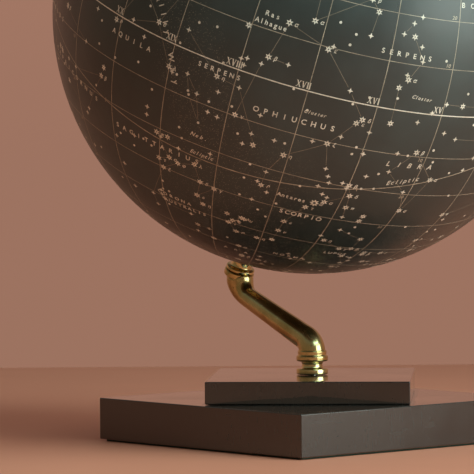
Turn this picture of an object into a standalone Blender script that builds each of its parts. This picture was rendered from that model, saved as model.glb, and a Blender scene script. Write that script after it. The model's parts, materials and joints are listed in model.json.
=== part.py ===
"""A table celestial globe on a cast brass S-arm and a stepped, square, black lacquered base.

Metres, +Z up. The origin is the middle of the base's underside. The lower plinth's sides lie
along X and Y, and the upper plinth is turned 45 degrees on it. The arm lies in the XZ plane.
It rises from the middle of the base towards -X, and then leans back so that its head is in line
with the globe's axle. The north pole leans towards +X.
"""

import math

import bmesh
import bpy
from mathutils import Matrix, Vector

# Fits
GAP = 0.0003  # between pieces that touch
MERGE = 2e-6  # points closer than this are one point
ARRIS = 0.0005  # bevel on a lacquered edge

# Globe
GLOBE_RADIUS = 0.1524  # outside of the printed map
GLOBE_CENTRE = Vector((0.0029, 0.0, 0.2508))
AXIS_TILT = math.radians(23.8)  # of the axle from upright
EQUINOX_TURN = math.radians(213.6)  # round the axle, from down the slope to hour circle 0
PAPER = 0.00025
SHELL_WALL = 0.0028
POLE_HOLE = 0.0053  # radius of the hole for a pole bush, in shell, paper and wooden block
GORES = 12
GORE_LATITUDE = math.radians(70.0)  # where the gores stop and the polar caps begin
LATITUDE_STEP = math.radians(10.0)
GLOBE_SEGMENTS = 36

# Inside the globe
HOOP_HEIGHT = 0.016
HOOP_WALL = 0.003
BLOCK_RADIUS = 0.022
BLOCK_INNER = 0.125  # height of the block's inner face above the globe's centre
PILLAR_RADIUS = 0.014
PILLAR_BORE = 0.0045

# Axle, and what is threaded on it. Heights are distances from the globe's centre along the axle.
AXLE_RADIUS = 0.0030
AXLE_BORE = 0.0033
BUSH_TUBE = 0.0050
BUSH_FLANGE = 0.0100
BUSH_FACE = 0.1538
BUSH_END = 0.1330
FLANGE_SEAT = 0.1526
THRUST_WASHER = 0.0010
SPOOL_LENGTH = 0.0107
SPOOL_RING = 0.0022
SPOOL_RADIUS = 0.0086
SPOOL_NECK = 0.0058
SPRING_WASHER = 0.0006
SPRING_RISE = 0.0008
PLAIN_WASHER = 0.0008
FINIAL_LENGTH = 0.0110
FINIAL_RADIUS = 0.0066

# Base
FELT_SIDE = 0.1720
FELT_THICKNESS = 0.0009
FELT_HOLE = 0.0160
LOWER_SIDE = 0.1780
LOWER_TOP = 0.0256
UPPER_SIDE = 0.1177
UPPER_TOP = 0.0389
STUD_RADIUS = 0.0030
STUD_HOLE = 0.0034
STUD_BOTTOM = 0.0022
STUD_TOP = 0.0560
RECESS_RADIUS = 0.0110
RECESS_DEPTH = 0.0090
WASHER_RADIUS = 0.0085
WASHER_THICKNESS = 0.0015
NUT_FLATS = 0.0100
NUT_HEIGHT = 0.0050
SCREW_OFFSET = 0.0450
SCREW_LENGTH = 0.0300
SCREW_SHANK = 0.0020
SCREW_HEAD = 0.0040
SCREW_HEAD_HEIGHT = 0.0026
SCREW_SINK = 0.0010
SCREW_PILOT = 0.0023

# Foot spool and arm
FOOT_RADIUS = 0.0093
FOOT_RING = 0.0035
FOOT_NECK = 0.00605
COLLAR_BOTTOM = 0.0469
COLLAR_BEAD = 0.0032
COLLAR_TOP = 0.0534
COLLAR_SHOULDER = 0.0086
RUN_RISE = math.radians(23.5)  # slope of the arm's straight run
LOWER_CORNER = 0.0580  # height at which the run's line meets the upright through the foot
LOWER_BEND = 0.0090
UPPER_BEND = 0.0145
HEAD_RADIUS = 0.0090
HEAD_FLANGE = 0.0037
HEAD_OFFSET = 0.0008  # the bar leaves the flange this far off the axle's line
HEAD_CLEAR = 0.0008
TUBE_AT_FOOT = 0.0078  # the bar's radius, from one end to the other
TUBE_AFTER_BEND = 0.0074
TUBE_AT_NECK = 0.0061
TUBE_AT_HEAD = 0.0081
ARM_HOLE_DEPTH = 0.0100
ARM_SEGMENTS = 24

SEGMENTS = 24
WAIST_STEPS = 6
FULL_TURN = 2.0 * math.pi


# ---------------------------------------------------------------- scene, materials and frames

for old in list(bpy.data.objects):
    bpy.data.objects.remove(old, do_unlink=True)


def material(name, colour, roughness, metallic=0.0):
    """A Principled material with one colour, roughness and metallic value."""
    made = bpy.data.materials.new(name)
    made.use_nodes = True
    shader = made.node_tree.nodes["Principled BSDF"]
    shader.inputs["Base Color"].default_value = (*colour, 1.0)
    shader.inputs["Roughness"].default_value = roughness
    shader.inputs["Metallic"].default_value = metallic
    made.diffuse_color = (*colour, 1.0)
    return made


def empty(name, location=(0.0, 0.0, 0.0), tilt=0.0):
    """A frame that pieces are parented to, leaning by tilt towards +X."""
    frame = bpy.data.objects.new(name, None)
    frame.location = location
    frame.rotation_euler = (0.0, tilt, 0.0)
    bpy.context.collection.objects.link(frame)
    return frame


def piece(name, mesh, finish, parent, height=0.0):
    """A named object of one mesh, at a height up its parent's Z axis."""
    mesh.materials.append(finish)
    made = bpy.data.objects.new(name, mesh)
    made.parent = parent
    made.location = (0.0, 0.0, height)
    bpy.context.collection.objects.link(made)
    return made


def helper(name, mesh, parent, height=0.0):
    """A cutter or an added shape: it isn't part of the object by itself."""
    made = bpy.data.objects.new(name, mesh)
    made.parent = parent
    made.location = (0.0, 0.0, height)
    made.hide_render = True
    made.display_type = "WIRE"
    bpy.context.collection.objects.link(made)
    return made


def boolean(target, other, operation="DIFFERENCE"):
    """Cuts other from target, or joins it on."""
    modifier = target.modifiers.new(f"{operation.lower()}_{other.name}", "BOOLEAN")
    modifier.operation = operation
    modifier.object = other


def finish_mesh(bm, name, smooth=True):
    """Turns a bmesh into a mesh with its faces out, shaded smooth up to a 30 degree edge."""
    bmesh.ops.remove_doubles(bm, verts=bm.verts, dist=MERGE)
    bmesh.ops.recalc_face_normals(bm, faces=bm.faces)
    mesh = bpy.data.meshes.new(name)
    bm.to_mesh(mesh)
    bm.free()
    if smooth:
        mesh.shade_smooth()
        mesh.set_sharp_from_angle(angle=math.radians(30.0))
    return mesh


# ---------------------------------------------------------------- shapes


def turned(name, outline, segments=SEGMENTS, turn=0.0):
    """A turned solid. outline is (radius, height) points: a closed loop clear of the axis,
    or an open line that starts and ends on it."""
    bm = bmesh.new()
    on_axis = outline[0][0] == 0.0
    verts = [bm.verts.new((r * math.cos(turn), r * math.sin(turn), z)) for r, z in outline]
    edges = [bm.edges.new(pair) for pair in zip(verts, verts[1:])]
    if not on_axis:
        edges.append(bm.edges.new((verts[-1], verts[0])))
    bmesh.ops.spin(
        bm,
        geom=verts + edges,
        axis=(0.0, 0.0, 1.0),
        cent=(0.0, 0.0, 0.0),
        steps=segments,
        angle=FULL_TURN,
    )
    return finish_mesh(bm, name)


def tube_outline(inner, outer, low, high, chamfer=0.0):
    """The closed outline of a plain ring, with a chamfer on its two outer edges."""
    points = [(inner, low), (outer - chamfer, low)]
    if chamfer:
        points.append((outer, low + chamfer))
        points.append((outer, high - chamfer))
    points.append((outer - chamfer, high))
    points.append((inner, high))
    return points


def arc_points(centre, radius, start, end, steps):
    """(radius, height) points on an arc round centre, from one angle to another."""
    angles = [start + (end - start) * i / steps for i in range(steps + 1)]
    return [(centre[0] + radius * math.cos(a), centre[1] + radius * math.sin(a)) for a in angles]


def rod(name, radius, low, high, chamfer=0.0005, segments=SEGMENTS):
    """A round bar with chamfered ends."""
    outline = [
        (0.0, low),
        (radius - chamfer, low),
        (radius, low + chamfer),
        (radius, high - chamfer),
        (radius - chamfer, high),
        (0.0, high),
    ]
    return turned(name, outline, segments)


def block(name, side, height):
    """A square block standing on its parent's origin."""
    bm = bmesh.new()
    bmesh.ops.create_cube(bm, size=1.0)
    bmesh.ops.scale(bm, vec=(side, side, height), verts=bm.verts)
    bmesh.ops.translate(bm, vec=(0.0, 0.0, height / 2.0), verts=bm.verts)
    return finish_mesh(bm, name, smooth=False)


def hexagon(name, flats, height, bore):
    """A hexagon nut with a plain hole."""
    bm = bmesh.new()
    corner = flats / 2.0 / math.cos(math.pi / 6.0)
    steps = 24
    rings = []
    for z in (0.0, height):
        outer = []
        inner = []
        for i in range(steps):
            angle = FULL_TURN * i / steps
            off_middle = (angle % (math.pi / 3.0)) - math.pi / 6.0
            reach = corner * math.cos(math.pi / 6.0) / math.cos(off_middle)
            outer.append(bm.verts.new((reach * math.cos(angle), reach * math.sin(angle), z)))
            inner.append(bm.verts.new((bore * math.cos(angle), bore * math.sin(angle), z)))
        rings.append((outer, inner))
    (low_out, low_in), (high_out, high_in) = rings
    for i in range(steps):
        j = (i + 1) % steps
        bm.faces.new((low_out[i], low_out[j], high_out[j], high_out[i]))
        bm.faces.new((low_in[j], low_in[i], high_in[i], high_in[j]))
        bm.faces.new((high_out[i], high_out[j], high_in[j], high_in[i]))
        bm.faces.new((low_out[j], low_out[i], low_in[i], low_in[j]))
    return finish_mesh(bm, name)


def on_sphere(radius, longitude, latitude):
    """A point on a sphere round the globe's centre, in the globe's own frame."""
    return Vector(
        (
            radius * math.cos(latitude) * math.cos(longitude),
            radius * math.cos(latitude) * math.sin(longitude),
            radius * math.sin(latitude),
        )
    )


def patch(name, inner, outer, longitudes, latitudes):
    """A piece of a spherical wall. latitudes gives one for each edge line, and longitudes is a
    function of a latitude that gives the line's longitudes."""
    bm = bmesh.new()
    grids = []
    for radius in (inner, outer):
        grid = []
        for latitude in latitudes:
            grid.append([bm.verts.new(on_sphere(radius, a, latitude)) for a in longitudes(latitude)])
        grids.append(grid)
    low, high = grids
    rows = len(latitudes) - 1
    columns = len(low[0]) - 1
    for i in range(rows):
        for j in range(columns):
            for grid in grids:
                bm.faces.new((grid[i][j], grid[i][j + 1], grid[i + 1][j + 1], grid[i + 1][j]))
    for j in range(columns):
        for i in (0, rows):
            bm.faces.new((low[i][j], low[i][j + 1], high[i][j + 1], high[i][j]))
    for i in range(rows):
        for j in (0, columns):
            bm.faces.new((low[i][j], low[i + 1][j], high[i + 1][j], high[i][j]))
    return finish_mesh(bm, name)


def cap_outline(inner, outer, edge_latitude, edge_rise, hole):
    """The outline of a spherical cap with a hole at its pole. Its rim is edge_rise above the
    plane of its edge latitude."""
    steps = round((math.pi / 2.0 - edge_latitude) / LATITUDE_STEP)
    latitudes = [edge_latitude + LATITUDE_STEP * i for i in range(steps)]
    outside = [(outer * math.cos(a), outer * math.sin(a)) for a in latitudes]
    outside[0] = (outside[0][0], outside[0][1] + edge_rise)
    outside.append((hole, math.sqrt(outer * outer - hole * hole)))
    inside = [(inner * math.cos(a), inner * math.sin(a)) for a in latitudes]
    inside[0] = (inside[0][0], inside[0][1] + edge_rise)
    inside.append((hole, math.sqrt(inner * inner - hole * hole)))
    return outside + inside[::-1]


def mirrored(outline):
    """The same outline turned upside down, for the south end of the globe."""
    return [(r, -z) for r, z in outline]


# ---------------------------------------------------------------- the arm's centre line


def direction(angle):
    """A unit vector in the XZ plane, at an angle above +X."""
    return Vector((math.cos(angle), 0.0, math.sin(angle)))


AXLE = direction(math.pi / 2.0 - AXIS_TILT)
RUN = direction(math.pi - RUN_RISE)


def on_axle(distance):
    """The point on the axle's line that is this far below the globe's centre."""
    return GLOBE_CENTRE - AXLE * distance


def lines_meet(point_a, along_a, point_b, along_b):
    """Where two lines in the XZ plane meet."""
    across = along_a.x * along_b.z - along_a.z * along_b.x
    between = point_b - point_a
    reach = (between.x * along_b.z - between.z * along_b.x) / across
    return point_a + along_a * reach


def bend(corner, arrive, leave, radius, steps):
    """Points and tangents round a corner, on an arc of this radius."""
    turn = arrive.angle(leave)
    setback = radius * math.tan(turn / 2.0)
    first = corner - arrive * setback
    side = (leave - arrive * leave.dot(arrive)).normalized()
    centre = first + side * radius
    stations = []
    for i in range(steps + 1):
        angle = turn * i / steps
        tangent = arrive * math.cos(angle) + side * math.sin(angle)
        stations.append((centre + arrive * radius * math.sin(angle) - side * radius * math.cos(angle), tangent))
    return stations


def blend(low, high, share):
    """Eases from one value to another."""
    return low + (high - low) * share * share * (3.0 - 2.0 * share)


def arm_stations():
    """(point, tangent, radius) down the length of the arm, from the foot to the head."""
    up = Vector((0.0, 0.0, 1.0))
    low_corner = Vector((0.0, 0.0, LOWER_CORNER))
    high_corner = lines_meet(low_corner, RUN, GLOBE_CENTRE, AXLE)
    first = (Vector((0.0, 0.0, COLLAR_BOTTOM + COLLAR_BEAD)), up)
    low = bend(low_corner, up, RUN, LOWER_BEND, 8)
    high = bend(high_corner, RUN, AXLE, UPPER_BEND, 12)
    clear = axle_reach() + HEAD_FLANGE + HEAD_CLEAR
    high = [station for station in high if (GLOBE_CENTRE - station[0]).dot(AXLE) > clear]
    inward = RUN.cross(Vector((0.0, 1.0, 0.0)))
    inward = (inward - AXLE * inward.dot(AXLE)).normalized()
    high.append((on_axle(axle_reach() + HEAD_FLANGE / 2.0) + inward * HEAD_OFFSET, AXLE))
    run_steps = 4
    stations = [(*first, TUBE_AT_FOOT)]
    for i, (point, tangent) in enumerate(low):
        stations.append((point, tangent, blend(TUBE_AT_FOOT, TUBE_AFTER_BEND, i / (len(low) - 1))))
    for i in range(1, run_steps):
        share = i / run_steps
        point = low[-1][0].lerp(high[0][0], share)
        stations.append((point, RUN, TUBE_AFTER_BEND + (TUBE_AT_NECK - TUBE_AFTER_BEND) * share))
    for i, (point, tangent) in enumerate(high):
        stations.append((point, tangent, blend(TUBE_AT_NECK, TUBE_AT_HEAD, i / (len(high) - 1))))
    return stations


def swept(name, stations, segments=ARM_SEGMENTS):
    """A round bar of changing radius along stations in the XZ plane, closed at both ends."""
    bm = bmesh.new()
    across = Vector((0.0, 1.0, 0.0))
    rings = []
    for point, tangent, radius in stations:
        side = across.cross(tangent).normalized()
        ring = []
        for i in range(segments):
            angle = FULL_TURN * i / segments
            offset = side * math.cos(angle) + across * math.sin(angle)
            ring.append(bm.verts.new(point + offset * radius))
        rings.append(ring)
    for low, high in zip(rings, rings[1:]):
        for i in range(segments):
            j = (i + 1) % segments
            bm.faces.new((low[i], low[j], high[j], high[i]))
    bm.faces.new(rings[0])
    bm.faces.new(rings[-1])
    return finish_mesh(bm, name)


# ---------------------------------------------------------------- heights down the axle


def spool_top():
    """Distance from the globe's centre to the top of the spool under the globe."""
    return BUSH_FACE + GAP + THRUST_WASHER + GAP


def axle_reach():
    """Distance from the globe's centre to the face of the arm's head."""
    return spool_top() + SPOOL_LENGTH + GAP


# ---------------------------------------------------------------- finishes

BLACK_LACQUER = material("black_lacquer", (0.020, 0.016, 0.014), 0.08)
FELT = material("green_felt", (0.030, 0.055, 0.040), 0.95)
BRASS = material("polished_brass", (0.62, 0.42, 0.17), 0.14, 1.0)
STEEL = material("bright_steel", (0.56, 0.56, 0.55), 0.30, 1.0)
ZINC = material("zinc_plated_steel", (0.60, 0.60, 0.58), 0.38, 1.0)
PRINTED_PAPER = material("printed_paper", (0.012, 0.030, 0.034), 0.16)
PASTEBOARD = material("pasteboard", (0.44, 0.35, 0.24), 0.85)
BEECH = material("beech", (0.52, 0.36, 0.20), 0.60)
FIBRE = material("red_fibre", (0.26, 0.06, 0.04), 0.60)


# ---------------------------------------------------------------- base


def make_base():
    """The felt, the two plinths, and what holds them and the arm together."""
    frame = empty("base_frame")
    turned_frame = empty("upper_plinth_frame")
    turned_frame.rotation_euler = (0.0, 0.0, math.radians(45.0))

    felt = piece("felt_pad", block("felt_pad", FELT_SIDE, FELT_THICKNESS), FELT, frame)
    felt_cutter = helper("felt_hole", rod("felt_hole", FELT_HOLE, -0.01, 0.01), frame)
    boolean(felt, felt_cutter)

    bottom = FELT_THICKNESS + GAP
    lower_mesh = block("lower_plinth", LOWER_SIDE, LOWER_TOP - bottom)
    lower = piece("lower_plinth", lower_mesh, BLACK_LACQUER, frame, bottom)
    upper_bottom = LOWER_TOP + GAP
    upper_mesh = block("upper_plinth", UPPER_SIDE, UPPER_TOP - upper_bottom)
    upper = piece("upper_plinth", upper_mesh, BLACK_LACQUER, turned_frame, upper_bottom)
    for plinth in (lower, upper):
        bevel = plinth.modifiers.new("arrises", "BEVEL")
        bevel.width = ARRIS
        bevel.segments = 2

    stud_bore = helper("stud_bore", rod("stud_bore", STUD_HOLE, -0.01, 0.06), frame)
    recess_mesh = rod("nut_recess", RECESS_RADIUS, -0.01, bottom + RECESS_DEPTH, 0.0001)
    recess = helper("nut_recess", recess_mesh, frame)
    for cutter in (stud_bore, recess):
        boolean(lower, cutter)
    boolean(upper, stud_bore)

    make_plinth_screws(frame, lower, upper, bottom)
    make_clamp(frame, bottom)


def make_plinth_screws(frame, lower, upper, bottom):
    """Countersunk wood screws that go up through the lower plinth into the upper one."""
    seat = bottom + SCREW_SINK
    top = seat + SCREW_LENGTH
    tip = 0.0040
    outline = [
        (0.0, 0.0),
        (SCREW_HEAD, 0.0),
        (SCREW_HEAD, 0.0004),
        (SCREW_SHANK, SCREW_HEAD_HEIGHT),
        (SCREW_SHANK, SCREW_LENGTH - tip),
        (0.0, SCREW_LENGTH),
    ]
    spare = SCREW_PILOT - SCREW_SHANK
    hole_outline = [
        (0.0, -0.01),
        (SCREW_HEAD + spare, -0.01),
        (SCREW_HEAD + spare, seat + 0.0006),
        (SCREW_PILOT, seat + SCREW_HEAD_HEIGHT + spare),
        (SCREW_PILOT, top - tip),
        (0.0, top + 0.0008),
    ]
    for number in range(4):
        angle = FULL_TURN * number / 4.0
        at = Vector((SCREW_OFFSET * math.cos(angle), SCREW_OFFSET * math.sin(angle), 0.0))
        screw_mesh = turned(f"plinth_screw_{number + 1}", outline, 20)
        screw = piece(f"plinth_screw_{number + 1}", screw_mesh, ZINC, frame, seat)
        screw.location = at + Vector((0.0, 0.0, seat))
        slot_mesh = block(f"screw_slot_{number + 1}", 1.0, 0.0010)
        slot_mesh.transform(Matrix.Diagonal((0.0100, 0.0011, 1.0, 1.0)))
        slot = helper(f"screw_slot_{number + 1}", slot_mesh, frame)
        slot.location = at + Vector((0.0, 0.0, seat - 0.0002))
        boolean(screw, slot)
        hole = helper(f"screw_hole_{number + 1}", turned(f"screw_hole_{number + 1}", hole_outline, 20), frame)
        hole.location = at
        boolean(lower, hole)
        boolean(upper, hole)


def make_clamp(frame, bottom):
    """The stud, washer and nut that pull the arm, foot spool and plinths together."""
    ceiling = bottom + RECESS_DEPTH
    piece("base_stud", rod("base_stud", STUD_RADIUS, STUD_BOTTOM, STUD_TOP), STEEL, frame)
    washer_low = ceiling - GAP - WASHER_THICKNESS
    washer_outline = tube_outline(STUD_HOLE, WASHER_RADIUS, 0.0, WASHER_THICKNESS, 0.0002)
    piece("stud_washer", turned("stud_washer", washer_outline), ZINC, frame, washer_low)
    nut_low = washer_low - GAP - NUT_HEIGHT
    piece("stud_nut", hexagon("stud_nut", NUT_FLATS, NUT_HEIGHT, STUD_HOLE), ZINC, frame, nut_low)


def make_foot_spool():
    """The turned ring and waisted neck between the upper plinth and the arm."""
    frame = empty("foot_frame")
    low = UPPER_TOP + GAP
    high = COLLAR_BOTTOM - GAP
    ring_top = low + FOOT_RING
    neck = high - ring_top
    edge = 0.0004
    sink = 0.0011  # how far the neck is hollowed in from its ends
    waist = arc_points((FOOT_NECK + sink, ring_top + neck / 2.0), sink, -math.pi / 2.0, -1.5 * math.pi, WAIST_STEPS)
    waist = [(r, ring_top + neck / 2.0 + (z - ring_top - neck / 2.0) * neck / (2.0 * sink)) for r, z in waist]
    outline = [
        (STUD_HOLE, low),
        (FOOT_RADIUS - edge, low),
        (FOOT_RADIUS, low + edge),
        (FOOT_RADIUS, ring_top - edge),
        (FOOT_RADIUS - edge, ring_top),
        *waist,
        (STUD_HOLE, high),
    ]
    piece("foot_spool", turned("foot_spool", outline), BRASS, frame)


# ---------------------------------------------------------------- arm


def make_arm():
    """The cast S-arm: a tapered round bar with a collar at its foot and a flange at its head."""
    frame = empty("arm_frame")
    arm = piece("s_arm", swept("s_arm", arm_stations()), BRASS, frame)
    edge = 0.0005
    collar_outline = [
        (0.0, COLLAR_BOTTOM),
        (FOOT_RADIUS - edge, COLLAR_BOTTOM),
        (FOOT_RADIUS, COLLAR_BOTTOM + edge),
        (FOOT_RADIUS, COLLAR_BOTTOM + COLLAR_BEAD - edge),
        (COLLAR_SHOULDER, COLLAR_BOTTOM + COLLAR_BEAD),
        (COLLAR_SHOULDER, COLLAR_TOP - edge),
        (COLLAR_SHOULDER - edge, COLLAR_TOP),
        (0.0, COLLAR_TOP),
    ]
    collar = helper("arm_collar", turned("arm_collar", collar_outline), frame)
    boolean(arm, collar, "UNION")

    head_frame = empty("arm_head_frame", on_axle(axle_reach()), AXIS_TILT)
    flange_mesh = rod("arm_flange", HEAD_RADIUS, -HEAD_FLANGE, 0.0, edge)
    flange = helper("arm_flange", flange_mesh, head_frame)
    boolean(arm, flange, "UNION")

    stud_mesh = rod("arm_stud_hole", AXLE_BORE, COLLAR_BOTTOM - 0.005, STUD_TOP + 0.0005)
    boolean(arm, helper("arm_stud_hole", stud_mesh, frame))
    axle_mesh = rod("arm_axle_hole", AXLE_BORE, -ARM_HOLE_DEPTH, 0.005)
    boolean(arm, helper("arm_axle_hole", axle_mesh, head_frame))


# ---------------------------------------------------------------- axle and its fittings


def make_axle():
    """The fixed axle and the pieces on it outside the globe, from the arm's head upwards."""
    frame = empty("axle_frame", GLOBE_CENTRE, AXIS_TILT)
    south_end = axle_reach() + ARM_HOLE_DEPTH - 0.0006
    washer_low = BUSH_FACE + GAP + SPRING_WASHER + SPRING_RISE + GAP
    finial_low = washer_low + PLAIN_WASHER + GAP
    north_end = finial_low + FINIAL_LENGTH * 0.6
    piece("axle_rod", rod("axle_rod", AXLE_RADIUS, -south_end, north_end), STEEL, frame)

    thrust_outline = tube_outline(AXLE_BORE, 0.0080, 0.0, THRUST_WASHER, 0.0002)
    thrust_mesh = turned("thrust_washer", thrust_outline)
    piece("thrust_washer", thrust_mesh, FIBRE, frame, -BUSH_FACE - GAP - THRUST_WASHER)

    make_axle_spool(frame)

    spring_outline = [
        (AXLE_BORE, SPRING_RISE),
        (0.0072, 0.0),
        (0.0072, SPRING_WASHER),
        (AXLE_BORE, SPRING_RISE + SPRING_WASHER),
    ]
    spring_mesh = turned("spring_washer", spring_outline)
    piece("spring_washer", spring_mesh, STEEL, frame, BUSH_FACE + GAP)

    plain_outline = tube_outline(AXLE_BORE, 0.0075, 0.0, PLAIN_WASHER, 0.0002)
    piece("plain_washer", turned("plain_washer", plain_outline), BRASS, frame, washer_low)
    make_finial(frame, finial_low, north_end)


def make_axle_spool(frame):
    """The turned spacer that holds the globe clear of the arm's head."""
    edge = 0.0004
    middle = SPOOL_LENGTH / 2.0
    half = middle - SPOOL_RING
    waist = arc_points((SPOOL_NECK + 0.0011, 0.0), 0.0011, -math.pi / 2.0, -1.5 * math.pi, WAIST_STEPS)
    waist = [(r, middle + z * half / 0.0011) for r, z in waist]
    outline = [
        (AXLE_BORE, 0.0),
        (SPOOL_RADIUS - edge, 0.0),
        (SPOOL_RADIUS, edge),
        (SPOOL_RADIUS, SPOOL_RING - edge),
        (SPOOL_RADIUS - edge, SPOOL_RING),
        *waist,
        (SPOOL_RADIUS - edge, SPOOL_LENGTH - SPOOL_RING),
        (SPOOL_RADIUS, SPOOL_LENGTH - SPOOL_RING + edge),
        (SPOOL_RADIUS, SPOOL_LENGTH - edge),
        (SPOOL_RADIUS - edge, SPOOL_LENGTH),
        (AXLE_BORE, SPOOL_LENGTH),
    ]
    piece("axle_spool", turned("axle_spool", outline), BRASS, frame, -spool_top() - SPOOL_LENGTH)


def make_finial(frame, low, axle_end):
    """The domed nut at the north end of the axle, with a blind hole."""
    skirt = 0.0030
    dome = FINIAL_LENGTH - skirt
    crown = [(FINIAL_RADIUS * math.cos(a), skirt + dome * math.sin(a)) for a in quarter(6)]
    outline = [
        (0.0, axle_end - low + 0.0004),
        (AXLE_BORE, axle_end - low + 0.0004),
        (AXLE_BORE, 0.0),
        (FINIAL_RADIUS - 0.0004, 0.0),
        (FINIAL_RADIUS, 0.0004),
        *crown,
        (0.0, FINIAL_LENGTH),
    ]
    piece("finial_nut", turned("finial_nut", outline), BRASS, frame, low)


def quarter(steps):
    """Angles from level to nearly upright."""
    return [math.pi / 2.0 * i / steps for i in range(steps)]


# ---------------------------------------------------------------- globe


def make_globe():
    """Everything that turns on the axle. The frame's Z axis is the joint's axis."""
    frame = empty("globe_spin", GLOBE_CENTRE, AXIS_TILT)
    shell_outer = GLOBE_RADIUS - PAPER - GAP
    shell_inner = shell_outer - SHELL_WALL
    shell = cap_outline(shell_inner, shell_outer, 0.0, GAP / 2.0, POLE_HOLE)
    for name, outline in (("north", shell), ("south", mirrored(shell))):
        shell_mesh = turned(f"{name}_shell", outline, GLOBE_SEGMENTS, EQUINOX_TURN)
        piece(f"{name}_shell", shell_mesh, PASTEBOARD, frame)

    make_map(frame)

    hoop_outer = shell_inner - 0.0011
    hoop = tube_outline(hoop_outer - HOOP_WALL, hoop_outer, -HOOP_HEIGHT / 2.0, HOOP_HEIGHT / 2.0)
    piece("seam_hoop", turned("seam_hoop", hoop, GLOBE_SEGMENTS, EQUINOX_TURN), PASTEBOARD, frame)

    reach = shell_inner - 0.0015
    block_outline = [
        (POLE_HOLE, BLOCK_INNER),
        (BLOCK_RADIUS, BLOCK_INNER),
        (BLOCK_RADIUS, math.sqrt(reach * reach - BLOCK_RADIUS * BLOCK_RADIUS)),
        (BLOCK_RADIUS / 2.0, math.sqrt(reach * reach - BLOCK_RADIUS * BLOCK_RADIUS / 4.0)),
        (POLE_HOLE, math.sqrt(reach * reach - POLE_HOLE * POLE_HOLE)),
    ]
    bush_outline = [
        (AXLE_BORE, BUSH_END),
        (BUSH_TUBE, BUSH_END),
        (BUSH_TUBE, FLANGE_SEAT),
        (BUSH_FLANGE, FLANGE_SEAT),
        (BUSH_FLANGE, BUSH_FACE - 0.0004),
        (BUSH_FLANGE - 0.0006, BUSH_FACE),
        (AXLE_BORE, BUSH_FACE),
    ]
    for name, turn_over in (("north", False), ("south", True)):
        wood = mirrored(block_outline) if turn_over else block_outline
        bush = mirrored(bush_outline) if turn_over else bush_outline
        piece(f"{name}_pole_block", turned(f"{name}_pole_block", wood), BEECH, frame)
        piece(f"{name}_pole_bush", turned(f"{name}_pole_bush", bush), BRASS, frame)

    pillar_half = BLOCK_INNER - GAP
    pillar = tube_outline(PILLAR_BORE, PILLAR_RADIUS, -pillar_half, pillar_half)
    piece("centre_pillar", turned("centre_pillar", pillar), BEECH, frame)


def make_map(frame):
    """The printed paper: gores from one polar cap to the other, and a round cap at each pole."""
    inner = GLOBE_RADIUS - PAPER
    rows = round(2.0 * GORE_LATITUDE / LATITUDE_STEP)
    latitudes = [-GORE_LATITUDE + LATITUDE_STEP * i for i in range(rows + 1)]
    trim = GAP / 2.0 / GLOBE_RADIUS
    latitudes[0] += trim
    latitudes[-1] -= trim
    width = FULL_TURN / GORES
    columns = GLOBE_SEGMENTS // GORES
    for number in range(GORES):
        start = EQUINOX_TURN + width * number

        def across(latitude, start=start):
            inset = trim / math.cos(latitude)
            line = [start + width * i / columns for i in range(columns + 1)]
            return [line[0] + inset, *line[1:-1], line[-1] - inset]

        name = f"gore_{number + 1:02d}"
        piece(name, patch(name, inner, GLOBE_RADIUS, across, latitudes), PRINTED_PAPER, frame)

    cap = cap_outline(inner, GLOBE_RADIUS, GORE_LATITUDE, GAP / 2.0, POLE_HOLE)
    for name, outline in (("north", cap), ("south", mirrored(cap))):
        cap_mesh = turned(f"{name}_map_cap", outline, GLOBE_SEGMENTS, EQUINOX_TURN)
        piece(f"{name}_map_cap", cap_mesh, PRINTED_PAPER, frame)


make_base()
make_foot_spool()
make_arm()
make_axle()
make_globe()
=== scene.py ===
"""A 12 inch table celestial globe: black printed sky, cast brass arm and stepped lacquered base."""

import json
import logging
import math
import random
from collections.abc import Iterable
from dataclasses import dataclass, field, replace
from enum import Enum
from functools import cache
from typing import Any

import bmesh
import bpy
from mathutils import Matrix, Vector


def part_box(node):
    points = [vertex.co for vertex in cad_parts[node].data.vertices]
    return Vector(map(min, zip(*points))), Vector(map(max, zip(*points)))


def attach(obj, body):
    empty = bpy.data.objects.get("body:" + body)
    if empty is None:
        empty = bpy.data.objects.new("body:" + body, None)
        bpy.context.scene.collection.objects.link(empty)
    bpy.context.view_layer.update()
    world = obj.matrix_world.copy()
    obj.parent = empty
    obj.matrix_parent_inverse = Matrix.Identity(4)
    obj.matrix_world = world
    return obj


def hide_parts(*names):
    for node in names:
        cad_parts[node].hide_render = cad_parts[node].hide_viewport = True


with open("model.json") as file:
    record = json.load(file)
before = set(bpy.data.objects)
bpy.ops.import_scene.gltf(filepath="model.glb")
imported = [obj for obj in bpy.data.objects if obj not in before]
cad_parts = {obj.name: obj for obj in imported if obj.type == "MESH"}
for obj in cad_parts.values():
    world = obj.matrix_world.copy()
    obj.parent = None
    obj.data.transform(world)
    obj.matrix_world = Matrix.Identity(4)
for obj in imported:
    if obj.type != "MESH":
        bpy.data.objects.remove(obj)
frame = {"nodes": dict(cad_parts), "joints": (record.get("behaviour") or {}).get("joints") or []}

LOG = logging.getLogger("celestial_globe")
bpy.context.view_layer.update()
TURN = 2.0 * math.pi
TINY = 1e-9
LEVEL = Vector((0.0, 1.0, 0.0))  # square to the plane of the arm and the axle
FLOAT, VECTOR, GEOMETRY, MATERIAL, COUNT, OBJECT = (
    f"NodeSocket{kind}" for kind in ("Float", "Vector", "Geometry", "Material", "Int", "Object")
)
Profile = list[tuple[float, float]]
Rgb = tuple[float, float, float]


# ------------------------------------------------------------------ node sheets and shared groups


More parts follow.
